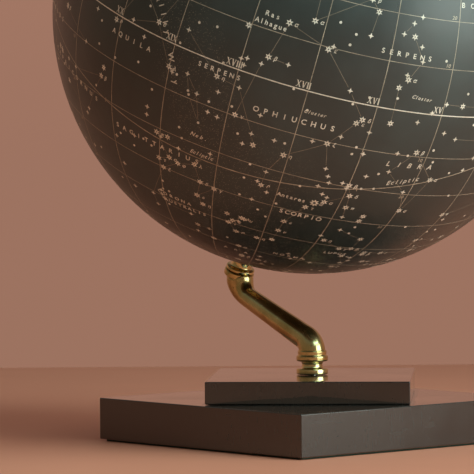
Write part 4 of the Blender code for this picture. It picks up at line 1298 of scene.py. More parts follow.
CHART = """
LIBRA|α14.85-16.04:2.8 β15.28-9.38:2.6 γ15.59-14.79:3.9 σ15.07-25.28:3.3 υ15.62-28.14:3.6 τ15.64-29.78:3.7 θ15.90-16.73:4.1 ι15.20-19.79:4.5 κ15.70-19.68:4.7 η15.73-15.67:5 δ15.02-8.52:4.9 ν14.95-4.35:4.5 a15.57-10.06:4.6 λ15.89-20.17:5 ξ14.95-11.41:5.4 ε15.40-10.32:4.9|σαβγ σιγ
SCORPIO|α16.49-26.43:1.0 β16.09-19.81:2.6 δ16.01-22.62:2.3 π15.98-26.11:2.9 σ16.35-25.59:2.9 τ16.60-28.22:2.8 ε16.84-34.29:2.3 μ16.87-38.05:3.0 ζ16.91-42.36:3.6 η17.20-43.24:3.3 θ17.62-43.0:1.9 ι17.79-40.13:3.0 κ17.71-39.03:2.4 λ17.56-37.1:1.6 υ17.51-37.3:2.7 ω16.11-20.67:3.9 ν16.20-19.46:4.0 ρ15.95-29.21:3.9 ξ16.07-11.37:4.2 χ16.23-11.84:5.2 ψ16.20-10.06:4.9 ο16.34-24.17:4.6 a17.83-37.04:3.6 b17.61-38.64:4.3|βδπρ δσατεμζηθικλυ
OPHIUCHUS|α17.58+12.56:2.1 β17.73+4.57:2.8 γ17.80+2.71:3.8 δ16.24-3.69:2.7 ε16.31-4.69:3.2 ζ16.62-10.57:2.6 η17.17-15.72:2.4 θ17.37-25.0:3.3 κ16.96+9.38:3.2 λ16.52+1.98:3.8 ν17.98-9.77:3.3 ξ17.35-21.11:4.4 σ17.44+4.14:4.3 ι16.90+10.17:4.4 υ16.46-8.37:4.6 φ16.52-16.61:4.3 χ16.45-18.46:4.4 ψ16.40-20.04:4.5 ω16.54-21.47:4.5 ρ16.43-23.45:4.6 μ17.63-8.12:4.6 τ18.05-8.18:4.8 a18.01+2.93:4.0 b18.09+2.5:4.0 c18.12+9.56:3.7 d16.83-10.78:4.6 e17.44-24.18:4.2 f17.46-29.87:4.3 g17.26-26.6:4.3 h18.03+1.31:4.4 i17.28-0.45:4.7 j17.02-4.22:4.8|ακλδεζηξθ αβγν βσ ζφ
SERPENS|α15.74+6.43:2.6 β15.77+15.42:3.7 γ15.94+15.66:3.8 δ15.58+10.54:3.8 ε15.85+4.48:3.7 μ15.83-3.43:3.5 η18.36-2.9:3.2 θ18.94+4.2:4.0 ξ17.63-15.4:3.5 ο17.69-12.88:4.2 ν17.35-12.85:4.3 ζ18.01-3.69:4.6 κ15.81+18.14:4.1 ι15.69+19.67:4.5 λ15.77+7.35:4.4 ω15.83+2.2:5.2|ικγβδαεμ ξοζηθ
AQUILA|α19.85+8.87:.8 β19.92+6.41:3.7 γ19.77+10.61:2.7 δ19.43+3.11:3.4 ζ19.09+13.86:3.0 ε18.99+15.07:4.0 η19.87+1.01:3.9 θ20.19-.82:3.2 λ19.10-4.88:3.4 ι19.61-1.29:4.4 κ19.62-7.03:4.9 a19.03-5.74:4.0 μ19.57+7.38:4.4 σ19.65+5.4:5.1 b20.49-2.89:4.9 c20.64-1.1:4.3|εζδλ δηθβαγζ δα
SCUTUM|α18.59-8.24:3.8 β18.79-4.75:4.2 γ18.49-14.57:4.7 δ18.71-9.05:4.7 ε18.73-8.28:4.9 ζ18.39-8.93:4.7 η18.95-5.85:4.8|βαγδβ
SAGITTARIUS|ε18.40-34.38:1.8 δ18.35-29.83:2.7 γ18.10-30.42:3.0 λ18.47-25.42:2.8 σ18.92-26.3:2.1 ζ19.04-29.88:2.6 τ19.12-27.67:3.3 φ18.76-26.99:3.2 η18.29-36.76:3.1 μ18.23-21.06:3.9 ξ18.96-21.11:3.5 ο19.08-21.74:3.8 π19.16-21.02:2.9 ρ19.36-17.85:3.9 υ19.36-15.96:4.6 θ20.0-35.28:4.4 ι19.92-41.87:4.1 α19.40-40.62:4.0 β19.38-44.46:4.0 ω19.93-26.3:4.7 a20.04-27.71:4.6 b19.61-24.88:4.6 χ19.42-24.51:5 ψ19.26-25.26:4.9|ηεδγε δλφσπξ στζφ ζαβ λμ
CAPRICORNUS|α20.30-12.54:3.6 β20.35-14.78:3.1 γ21.67-16.66:3.7 δ21.78-16.13:2.9 ζ21.44-22.41:3.7 θ21.10-17.23:4.1 ι21.37-16.83:4.3 ψ20.77-25.27:4.1 ω20.86-26.92:4.1 ρ20.48-17.81:4.8 ε21.62-19.47:4.7|αβψωζεδγιθβ
CORONA AUSTRALIS|α19.16-37.9:4.1 β19.17-39.34:4.1 γ19.11-37.06:4.9 δ19.14-40.5:4.6 ε18.98-37.11:4.9 ζ19.05-42.1:4.7 θ18.56-42.31:4.6|εγαβδζθ
LUPUS|α14.70-47.39:2.3 β14.98-43.13:2.7 γ15.59-41.17:2.8 δ15.36-40.65:3.2 ε15.38-44.69:3.4 ζ15.21-52.1:3.4 η16.0-38.4:3.4 φ15.36-36.26:3.6 κ15.20-48.74:3.9 π15.09-47.05:3.9 χ15.85-33.63:4.0 θ16.11-36.8:4.2 ψ15.66-34.41:4.7 λ15.15-45.28:4.1|αβδγη δφχ γεκζα
NORMA|γ16.33-50.16:4.0 ε16.45-47.55:4.5 η16.05-49.23:4.7|εγη
ARA|α17.53-49.88:2.9 β17.42-55.53:2.8 γ17.42-56.38:3.3 δ17.52-60.68:3.6 ζ16.98-55.99:3.1 ε16.99-53.16:4.1 θ18.11-50.09:3.7 η16.83-59.04:3.8|αβγδηζεα
TELESCOPIUM|α18.45-45.97:3.5 ζ18.48-49.07:4.1 ε18.19-45.95:4.5|εαζ
HERCULES|α17.24+14.39:3.1 β16.50+21.49:2.8 γ16.37+19.15:3.7 δ17.25+24.84:3.1 ζ16.69+31.6:2.8 η16.72+38.92:3.5 π17.25+36.81:3.2 ε17.01+30.93:3.9 μ17.77+27.72:3.4 ξ17.96+29.25:3.7 ο18.13+28.76:3.8 θ17.94+37.25:3.9 τ16.33+46.31:3.9 ι17.66+46.01:3.8 ω16.42+14.03:4.6 a18.40+21.77:3.8 b18.03+21.6:4.3|αδεζβα ζηπε ητ πθι δμξο βγω
CORONA BOREALIS|α15.58+26.71:2.2 β15.46+29.11:3.7 γ15.71+26.3:3.8 δ15.83+26.07:4.6 ε15.96+26.88:4.1 θ15.55+31.36:4.1|θβαγδε
BOOTES|α14.26+19.18:0 ε14.75+27.07:2.4 η13.91+18.4:2.7 γ14.54+38.31:3.0 β15.03+40.39:3.5 δ15.26+33.31:3.5 ζ14.69+13.73:3.8 ρ14.53+30.37:3.6|ζαεδβγρα αη
VIRGO|α13.42-11.16:1.0 β11.85+1.76:3.6 γ12.69-1.45:2.7 δ12.93+3.4:3.4 ε13.04+10.96:2.8 ζ13.58-.6:3.4 η12.33-.67:3.9 μ14.72-5.66:3.9 ι14.27-6.0:4.1 κ14.22-10.27:4.2 a14.77+1.89:3.7 τ14.03+1.54:4.3 λ14.32-13.37:4.5 θ13.17-5.54:4.4 φ14.47-2.23:4.8 b15.05+2.09:4.4|βηγδε γθα δζτab ακιμ
LYRA|α18.62+38.78:0 β18.84+33.36:3.5 γ18.98+32.69:3.2 δ18.91+36.9:4.3 ζ18.75+37.61:4.4|αζβγδζ
CYGNUS|α20.69+45.28:1.3 β19.51+27.96:3.1 γ20.37+40.26:2.2 δ19.75+45.13:2.9 ε20.77+33.97:2.5 ζ21.22+30.23:3.2 η19.94+35.08:3.9 ι19.50+51.73:3.8 κ19.29+53.37:3.8 ξ21.08+43.93:3.7|αγηβ κιδγεζ
DELPHINUS|α20.66+15.91:3.8 β20.63+14.6:3.6 γ20.78+16.12:3.9 δ20.72+15.07:4.4 ε20.55+11.3:4.0|εβαγδβ
SAGITTA|γ19.98+19.49:3.5 δ19.79+18.53:3.8 α19.67+18.01:4.4 β19.68+17.48:4.4|γδα δβ
AQUARIUS|β21.53-5.57:2.9 α22.10-.32:2.9 ε20.80-9.5:3.8 γ22.36-1.39:3.8 δ22.91-15.82:3.3 ζ22.48-.02:3.7 η22.59-.12:4.0 λ22.88-7.58:3.7 θ22.28-7.78:4.2|εβαγζηλδ αθ
PISCIS AUSTRINUS|α22.96-29.62:1.2 ε22.68-27.04:4.2 β22.53-32.35:4.3|εαβ
GRUS|α22.14-46.96:1.7 β22.71-46.88:2.1 γ21.90-37.36:3.0 δ22.49-43.5:4.0 ε22.81-51.32:3.5|γδβε αδ
PEGASUS|α23.08+15.21:2.5 β23.06+28.08:2.4 γ0.22+15.18:2.8 ε21.74+9.88:2.4 ζ22.69+10.83:3.4 η22.72+30.22:2.9 θ22.17+6.2:3.5 ι22.12+25.35:3.8 μ22.83+24.6:3.5|εθζαβη αγ βμι
ANDROMEDA|α0.14+29.09:2.1 β1.16+35.62:2.1 γ2.07+42.33:2.1 δ0.66+30.86:3.3 μ.95+38.5:3.9 ο23.03+42.33:3.6|αδβγ βμ
CASSIOPEIA|α.68+56.54:2.2 β.15+59.15:2.3 γ.95+60.72:2.4 δ1.43+60.24:2.7 ε1.91+63.67:3.4|βαγδε
CEPHEUS|α21.31+62.59:2.5 β21.48+70.56:3.2 γ23.66+77.63:3.2 ζ22.18+58.2:3.4 ι22.83+66.2:3.5|αβγιζα βι
DRACO|γ17.94+51.49:2.2 β17.51+52.3:2.8 α14.07+64.38:3.7 η16.40+61.51:2.7 ζ17.15+65.71:3.2 ι15.42+58.97:3.3 δ19.21+67.66:3.1 χ18.35+72.73:3.6 θ16.03+58.57:4.0 ξ17.89+56.87:3.7 κ12.56+69.79:3.9|καιθηζχδξγβ
URSA MINOR|α2.53+89.26:2.0 β14.85+74.16:2.1 γ15.35+71.83:3.0 ε16.77+82.04:4.2 ζ15.73+77.79:4.3|ζβγ εζ
URSA MAJOR|α11.06+61.75:1.8 β11.03+56.38:2.4 γ11.90+53.69:2.4 δ12.26+57.03:3.3 ε12.90+55.96:1.8 ζ13.40+54.93:2.2 η13.79+49.31:1.9 θ9.55+51.68:3.2 ι8.99+48.04:3.1 λ10.29+42.91:3.4 μ10.37+41.5:3.1 ν11.31+33.09:3.5 ψ11.16+44.5:3.0 ο8.50+60.72:3.4|ηζεδαβγδ βθι γψμλ ψν αο
CANES VENATICI|α12.93+38.32:2.9 β12.56+41.36:4.3|αβ
LEO|α10.14+11.97:1.4 β11.82+14.57:2.1 γ10.33+19.84:2.2 δ11.24+20.52:2.6 ε9.76+23.77:3.0 ζ10.28+23.42:3.4 η10.12+16.76:3.5 θ11.24+15.43:3.3 ρ10.55+9.31:3.9|εζγηαθβδγ δθ
GEMINI|α7.58+31.89:1.6 β7.76+28.03:1.1 γ6.63+16.4:1.9 δ7.34+21.98:3.5 ε6.73+25.13:3.0 ζ7.07+20.57:3.8 η6.25+22.51:3.3 μ6.38+22.51:2.9 ξ6.76+12.9:3.4|αεμη βδζγ βα δξ
CANCER|α8.98+11.86:4.3 β8.28+9.19:3.5 δ8.75+18.15:3.9 ι8.78+28.76:4.0|αδι δβ
CANIS MINOR|α7.66+5.22:.4 β7.45+8.29:2.9|αβ
CANIS MAJOR|α6.75-16.72:0 β6.38-17.96:2.0 δ7.14-26.39:1.8 ε6.98-28.97:1.5 η7.40-29.3:2.4 ζ6.34-30.06:3.0 ο7.05-23.83:3.0|βαοδεζ δη
ORION|α5.92+7.41:.5 β5.24-8.2:.1 γ5.42+6.35:1.6 δ5.53-.3:2.2 ε5.60-1.2:1.7 ζ5.68-1.94:1.8 κ5.80-9.67:2.1 ι5.59-5.91:2.8 λ5.59+9.93:3.4 π4.83+6.96:3.2|αζκβδγλα δεζ γπ
TAURUS|α4.60+16.51:.9 β5.44+28.61:1.7 ζ5.63+21.14:3.0 η3.79+24.11:2.9 γ4.33+15.63:3.7 ε4.48+19.18:3.5 λ4.01+12.49:3.4 ο3.41+9.03:3.6|ζαγεβ γλο
AURIGA|α5.28+46.0:.1 β5.99+44.95:1.9 θ6.0+37.21:2.6 ι4.95+33.17:2.7 ε5.03+43.82:3.0 η5.11+41.23:3.2|αβθι ιηεα
PERSEUS|α3.41+49.86:1.8 β3.14+40.96:2.1 γ3.08+53.51:2.9 δ3.72+47.79:3.0 ε3.96+40.01:2.9 ζ3.90+31.88:2.9 η2.85+55.9:3.8 ρ3.09+38.84:3.4|ηγαδεζ αβρ
ARIES|α2.12+23.46:2.0 β1.91+20.81:2.6 γ1.89+19.29:3.9 a2.83+27.26:3.6|γβαa
CETUS|α3.04+4.09:2.5 β.73-17.99:2.0 γ2.72+3.24:3.5 ζ1.86-10.34:3.7 η1.14-10.18:3.5 θ1.40-8.18:3.6 ι.32-8.82:3.6 τ1.73-15.94:3.5 ο2.32-2.98:3.0|αγοζθηιβτζ
PISCES|η1.53+15.35:3.6 α2.03+2.76:3.8 γ23.29+3.28:3.7 ω23.99+6.86:4.0 ι23.67+5.63:4.1 ο1.76+9.16:4.3 ε1.05+7.89:4.3|ηοαεωιγ
ERIDANUS|α1.63-57.24:.5 β5.13-5.09:2.8 γ3.97-13.51:3.0 δ3.72-9.76:3.5 ε3.55-9.46:3.7 θ2.97-40.3:2.9 τ3.33-21.76:3.7 υ4.30-33.8:3.6 φ2.28-51.51:3.6 ν4.61-3.35:3.9|βνγδετυθφα
LEPUS|α5.55-17.82:2.6 β5.47-20.76:2.8 ε5.09-22.37:3.2 μ5.22-16.21:3.3 ζ5.78-14.82:3.5 γ5.74-22.45:3.6|μαβε αζ βγ
PUPPIS|ζ8.06-40.0:2.3 π7.29-37.1:2.7 ρ8.13-24.3:2.8 τ6.83-50.61:2.9 ν6.63-43.2:3.2 σ7.49-43.3:3.3 ξ7.82-24.86:3.3|ρζσντ ξπν
CARINA|α6.40-52.7:0 β9.22-69.72:1.7 ε8.38-59.51:1.9 ι9.29-59.28:2.2 θ10.72-64.39:2.7 υ9.79-65.07:3.0|αβθυιε
VELA|γ8.16-47.34:1.8 δ8.75-54.71:2.0 λ9.13-43.43:2.2 κ9.37-55.01:2.5 μ10.78-49.42:2.7|γλμκδγ
HYDRA|α9.46-8.66:2.0 γ13.32-23.17:3.0 ζ8.92+5.95:3.1 ε8.78+6.42:3.4 ν10.83-16.19:3.1 π14.11-26.68:3.3 ξ11.55-31.86:3.5 θ9.24+2.31:3.9 λ10.18-12.35:3.6 μ10.44-16.84:3.8|εζθαλμνξγπ
CORVUS|γ12.26-17.54:2.6 β12.57-23.4:2.7 δ12.50-16.52:3.0 ε12.17-22.62:3.0|γδβεγ
CENTAURUS|α14.66-60.83:0 β14.06-60.37:.6 θ14.11-36.37:2.1 γ12.69-48.96:2.2 ε13.67-53.47:2.3 η14.59-42.16:2.3 ζ13.93-47.29:2.6 δ12.14-50.72:2.6 ι13.34-36.71:2.8 κ14.99-42.1:3.1 ν13.83-41.69:3.4 λ11.60-63.02:3.1|κηνθι νζεβ εα εγδλ
CRUX|α12.44-63.1:.8 β12.80-59.69:1.3 γ12.52-57.11:1.6 δ12.25-58.75:2.8|αγ βδ
TRIANGULUM AUSTRALE|α16.81-69.03:1.9 β15.92-63.43:2.9 γ15.32-68.68:2.9|αβγα
PAVO|α20.43-56.74:1.9 β20.75-66.2:3.4 δ20.15-66.18:3.6|αβδ
PHOENIX|α.44-42.31:2.4 β1.10-46.72:3.3 γ1.47-43.32:3.4|αβγ
HYDRUS|β.43-77.25:2.8 α1.98-61.57:2.9 γ3.79-74.24:3.2|αβγα
"""


class Kind(Enum):
    """The printed symbols for stars, by brightness."""

    FIRST = "first"
    OPEN = "open"
    FOUR_POINT = "four_point"
    ROUND = "round"


@dataclass(frozen=True)
class Star:
    """One star of the map."""

    letter: str
    hours: float
    declination: float
    magnitude: float

    def place(self) -> Vector:
        """The star's unit vector in the globe's frame."""
        return SKY.local(self.hours, self.declination)

    def kind(self) -> Kind:
        """The symbol for the star's brightness."""
        if self.magnitude < 1.45:
            return Kind.FIRST
        if self.magnitude < 3.75:
            return Kind.OPEN
        return Kind.FOUR_POINT if self.magnitude < 4.65 else Kind.ROUND


@dataclass(frozen=True)
class Lettering:
    """Words set along a line between two places."""

    text: str
    start: tuple[float, float]
    end: tuple[float, float]
    height: float
    slant: float


def place_of(text: str) -> tuple[float, float]:
    """Reads a place written as hours and a signed declination."""
    cut_at = max(text.find("+"), text.find("-"))
    return float(text[:cut_at]), float(text[cut_at:])


def words_of(table: str) -> list[Lettering]:
    """Reads a table of words: the text, both ends, the height in millimetres and any slant."""
    made = []
    for line in table.strip().splitlines():
        text, rest = line.split("|")
        start, end, height, *slant = rest.split()
        lean = float(slant[0]) if slant else 0.0
        made.append(Lettering(text, place_of(start), place_of(end), float(height) * 0.001, lean))
    return made


NAMES = """
AQUILA|20.1-4.1 19.4-4 2.9
SERPENS|18.56-2.2 17.97-2.2 2.8
OPHIUCHUS|17.62-7.5 16.52-7.3 3.2
SERPENS|16.12+11.4 15.4+11.2 2.8
SAGITTARIUS|19.88-25.2 18.33-25 3
CORONA|19.1-39.2 18.46-39.2 2.6
AUSTRALIS|18.98-41.3 18.15-41 2.6
SCORPIO|16.84-31.4 16.2-31.5 3.2
LIBRA|15.56-13 14.88-12.9 3.2 0.2
NORMA|16.58-49.1 15.97-49.1 2.6
LUPUS|15.67-43.8 15.25-43.8 2.6
CAPRICORNUS|21.9-18.6 20.4-22 2.8
Milky|19.5+7.6 19.2+1.4 3.6 0.02
Way|19.05-3.2 18.89-8 3.6 0.02
VIRGO|14.2-1.9 13.1-1.9 3.4
HERCULES|17.6+27.2 16.6+27.2 3.2
BOOTES|14.95+23 14.05+23 2.9
CORONA|15.95+24 15.4+24 2.4
LYRA|18.95+35 18.6+35 2.6
CYGNUS|20.7+37 19.6+37 2.9
DELPHINUS|20.95+18 20.4+18 2.4
AQUARIUS|22.8-10.5 21.6-10.5 2.9
PISCIS AUSTRINUS|23.05-34.6 21.8-34.6 2.4
GRUS|22.7-49.5 22.1-49.5 2.9
PEGASUS|23+18.5 22.05+18.5 3.2
ANDROMEDA|1.8+33.5 0.6+33.5 2.9
CASSIOPEIA|1.8+57.6 0.3+57.6 2.6
CEPHEUS|22.9+63.5 21.5+63.5 2.9
DRACO|17.5+59.5 16.2+59.5 2.9
URSA MINOR|17+76.5 14.6+76.5 2.4
URSA MAJOR|12.2+51.5 9.8+51.5 3.4
CANES VENATICI|13.2+40 12.3+40 2.2
LEO|11.4+13.2 10.6+13.2 3.4
GEMINI|7.5+24.2 6.7+24.2 2.9
CANCER|9.05+15.4 8.45+15.4 2.9
CANIS MINOR|8+2.6 7.2+2.6 2.4
CANIS MAJOR|7.35-21 6.45-21 2.8
ORION|5.85+3 5.25+3 3.4
TAURUS|5.2+20.4 4.1+20.4 3.2
AURIGA|5.85+40.5 5.2+40.5 2.9
PERSEUS|4.1+44.5 3.1+44.5 2.9
ARIES|2.9+21.5 2.2+21.5 2.9
CETUS|2.1-12.6 1-12.6 3.4
PISCES|1.7+6 0.4+6 2.9
ERIDANUS|4.2-18 3.1-18 2.9
LEPUS|5.75-18.9 5.25-18.9 2.4
PUPPIS|8-33 7.3-33 2.9
CARINA|9.2-63.4 7.6-63.4 2.9
VELA|9.4-50 8.7-50 2.9
HYDRA|11.4-20 10.2-20 2.9
CORVUS|12.6-19.8 12.1-19.8 2.6
CENTAURUS|14.3-50 12.9-50 2.9
CRUX|12.8-65.4 12.2-65.4 2.2
ARA|17.7-53.4 17.2-53.4 2.4
PAVO|20.4-63 19.2-63 2.9
PHOENIX|1.3-49.5 0.3-49.5 2.9
"""

NOTES = """
Ecliptic|15.42-17.9 14.98-16.1 3 0.35
Ecliptic|18.44-22.6 18.1-22.7 2.6 0.35
Antares|16.96-26.5 16.56-26.7 2.8
Ras|17.84+12.7 17.68+12.6 2.8
Alhague|17.95+10.8 17.54+10.7 2.8
Altair|19.8+7.4 19.58+7.4 2.6
Arcturus|14.2+17.4 13.86+17.4 2.6
Spica|13.6-13.1 13.4-13.1 2.6
Vega|18.55+40.8 18.33+40.8 2.6
Regulus|10.05+10.2 9.72+10.2 2.6
Sirius|6.65-15 6.42-15 2.6
Rigel|5.12-6.8 4.93-6.8 2.6
Aldebaran|4.5+14.8 4.12+14.8 2.6
Capella|5.1+47.4 4.65+47.4 2.6
Cluster|15.52+3 15.25+2.7 2.1 0.35
Cluster|16.95-4.7 16.68-4.7 2.1 0.35
Neb.|18.46-18.2 18.24-18.3 2.6 0.35
Cluster|16.62+35.2 16.3+35.2 2.1 0.35
Neb.|5.7-4.3 5.54-4.3 2.1 0.35
"""

HOURS = (
    "O I II III IV V VI VII VIII IX X XI XII XIII XIV XV XVI XVII XVIII XIX XX XXI XXII XXIII"
).split()


CAPITAL_HEIGHT = 0.72  # of the built-in letter, as a share of its size


@dataclass
class Flat:
    """A flat shape of points and faces, in units of the lettering's height."""

    points: list[tuple[float, float]] = field(default_factory=list)
    faces: list[tuple[int, ...]] = field(default_factory=list)

    def add(self, corners: Iterable[tuple[float, float]]) -> None:
        """Adds one face that runs the way it is given."""
        first = len(self.points)
        self.points.extend(corners)
        self.faces.append(tuple(range(first, len(self.points))))

    def closed(self) -> list[tuple[int, ...]]:
        """The faces of a thin solid whose points are these ones, high and then again low."""
        count = len(self.points)
        edges = {(a, b): None for face in self.faces for a, b in zip(face, face[1:] + face[:1])}
        made = []
        for face in self.faces:
            made += [tuple(face), tuple(count + i for i in reversed(face))]
        made += [(b, a, count + a, count + b) for a, b in edges if (b, a) not in edges]
        return made


@cache
def glyphs(text: str, slant: float) -> Flat:
    """Sets a few characters in the plain built-in letter, one unit high and centred.

    Args:
        text: the characters.
        slant: how far the letters lean.

    Returns:
        The flat shape.
    """
    curve = bpy.data.curves.new("letters", "FONT")
    curve.body = text
    curve.align_x = "CENTER"
    curve.shear = slant
    curve.resolution_u = 3
    curve.size = 1.0 / CAPITAL_HEIGHT
    curve.offset = 0.019 if slant < 0.3 else 0.012  # thicker strokes, but less so in italics
    curve.space_character = 1.06
    maker = linked("letters", curve)
    graph = bpy.context.evaluated_depsgraph_get()
    mesh = bpy.data.meshes.new_from_object(maker.evaluated_get(graph))
    made = Flat([(v.co.x, v.co.y) for v in mesh.vertices])
    for face in mesh.polygons:
        order = tuple(face.vertices)
        made.faces.append(order if face.normal.z > 0.0 else order[::-1])
    bpy.data.objects.remove(maker, do_unlink=True)
    bpy.data.curves.remove(curve)
    bpy.data.meshes.remove(mesh)
    return made


def numeral(text: str) -> Flat:
    """Draws a Roman numeral with thick and thin strokes and short serifs.

    Args:
        text: the letters I, V, X and O.

    Returns:
        The flat shape, one unit high and centred.
    """
    thick, thin, serif, foot = 0.17, 0.08, 0.055, 0.075
    widths = {"I": 0.34, "V": 0.80, "X": 0.82, "O": 0.72}
    made = Flat()
    x = -sum(widths[c] for c in text) / 2.0

    def stroke(x0: float, x1: float, wide: float) -> None:
        """A leaning stroke from x0 at the bottom to x1 at the top."""
        half = wide / 2.0
        made.add([(x0 - half, 0.0), (x0 + half, 0.0), (x1 + half, 1.0), (x1 - half, 1.0)])

    def bar(middle: float, low: float) -> None:
        """A serif."""
        reach = foot + thick / 4.0
        made.add(ring(middle - reach, middle + reach, low, low + serif))

    for letter in text:
        wide = widths[letter]
        left, right, middle = x + 0.16, x + wide - 0.16, x + wide / 2.0
        if letter == "I":
            stroke(middle, middle, thick)
            bar(middle, 0.0)
            bar(middle, 1.0 - serif)
        elif letter == "V":
            stroke(middle, left, thick)
            stroke(middle, right, thin)
            bar(left, 1.0 - serif)
            bar(right, 1.0 - serif)
        elif letter == "X":
            stroke(right, left, thick)
            stroke(left, right, thin)
            for low in (0.0, 1.0 - serif):
                bar(left, low)
                bar(right, low)
        else:
            for i in range(16):
                a, b = TURN * i / 16, TURN * (i + 1) / 16
                outer, inner = (0.30, 0.5), (0.17, 0.42)
                corners = ((outer, a), (outer, b), (inner, b), (inner, a))
                made.add((middle + x * math.cos(t), 0.5 + y * math.sin(t)) for (x, y), t in corners)
        x += wide
    return made


INK_SHARP = 40.0


@dataclass
class Press:
    """Lays flat shapes on the globe as thin closed solids, and gathers them into one mesh."""

    rise: float = 0.000035  # of the ink over the paper
    sink: float = 0.00006
    points: list[Vector] = field(default_factory=list)
    faces: list[tuple[int, ...]] = field(default_factory=list)

    def stamp(self, shape: Flat, anchor: Vector, along: Vector, height: float) -> None:
        """Lays one shape.

        Args:
            shape: the flat shape.
            anchor: the unit vector of the shape's origin.
            along: the direction of its X axis, level with the surface.
            height: the length of one unit.
        """
        up = anchor.cross(along).normalized()
        right = up.cross(anchor).normalized()
        first = len(self.points)
        middle = anchor * SKY.radius
        units = [(middle + (right * x + up * y) * height).normalized() for x, y in shape.points]
        for radius in (SKY.radius + self.rise, SKY.radius - self.sink):
            self.points += [unit * radius for unit in units]
        self.faces += [tuple(first + i for i in face) for face in shape.closed()]

    def settle(self, name: str, finish: Finish) -> None:
        """Turns what is gathered into one piece that rides on the globe."""
        mesh = bpy.data.meshes.new(name)
        mesh.from_pydata([tuple(p) for p in self.points], [], self.faces)
        mesh.transform(SKY.matrix())
        smooth(mesh, INK_SHARP)
        mesh.validate()
        settle(object_of(name, mesh, finish), finish, "globe")


def symbol(kind: Kind) -> Flat:
    """The flat shape of a star symbol, one unit in radius.

    Args:
        kind: which symbol.

    Returns:
        The shape.
    """
    points, notch, hole = {
        Kind.FIRST: (8, 0.55, 0.30),
        Kind.OPEN: (6, 0.46, 0.20),
        Kind.FOUR_POINT: (4, 0.38, 0.0),
        Kind.ROUND: (6, 0.97, 0.0),
    }[kind]
    made = Flat()
    count = points * 2
    for even, odd in ((1.0, notch), (hole, hole)) if hole else ((1.0, notch),):
        for i in range(count):
            angle = TURN * i / count + math.pi / 2.0
            reach = odd if i % 2 else even
            made.points.append((reach * math.cos(angle), reach * math.sin(angle)))
    if hole:
        turns = [(i, (i + 1) % count) for i in range(count)]
        made.faces = [(i, j, count + j, count + i) for i, j in turns]
    else:
        made.faces = [tuple(range(count))]
    return made


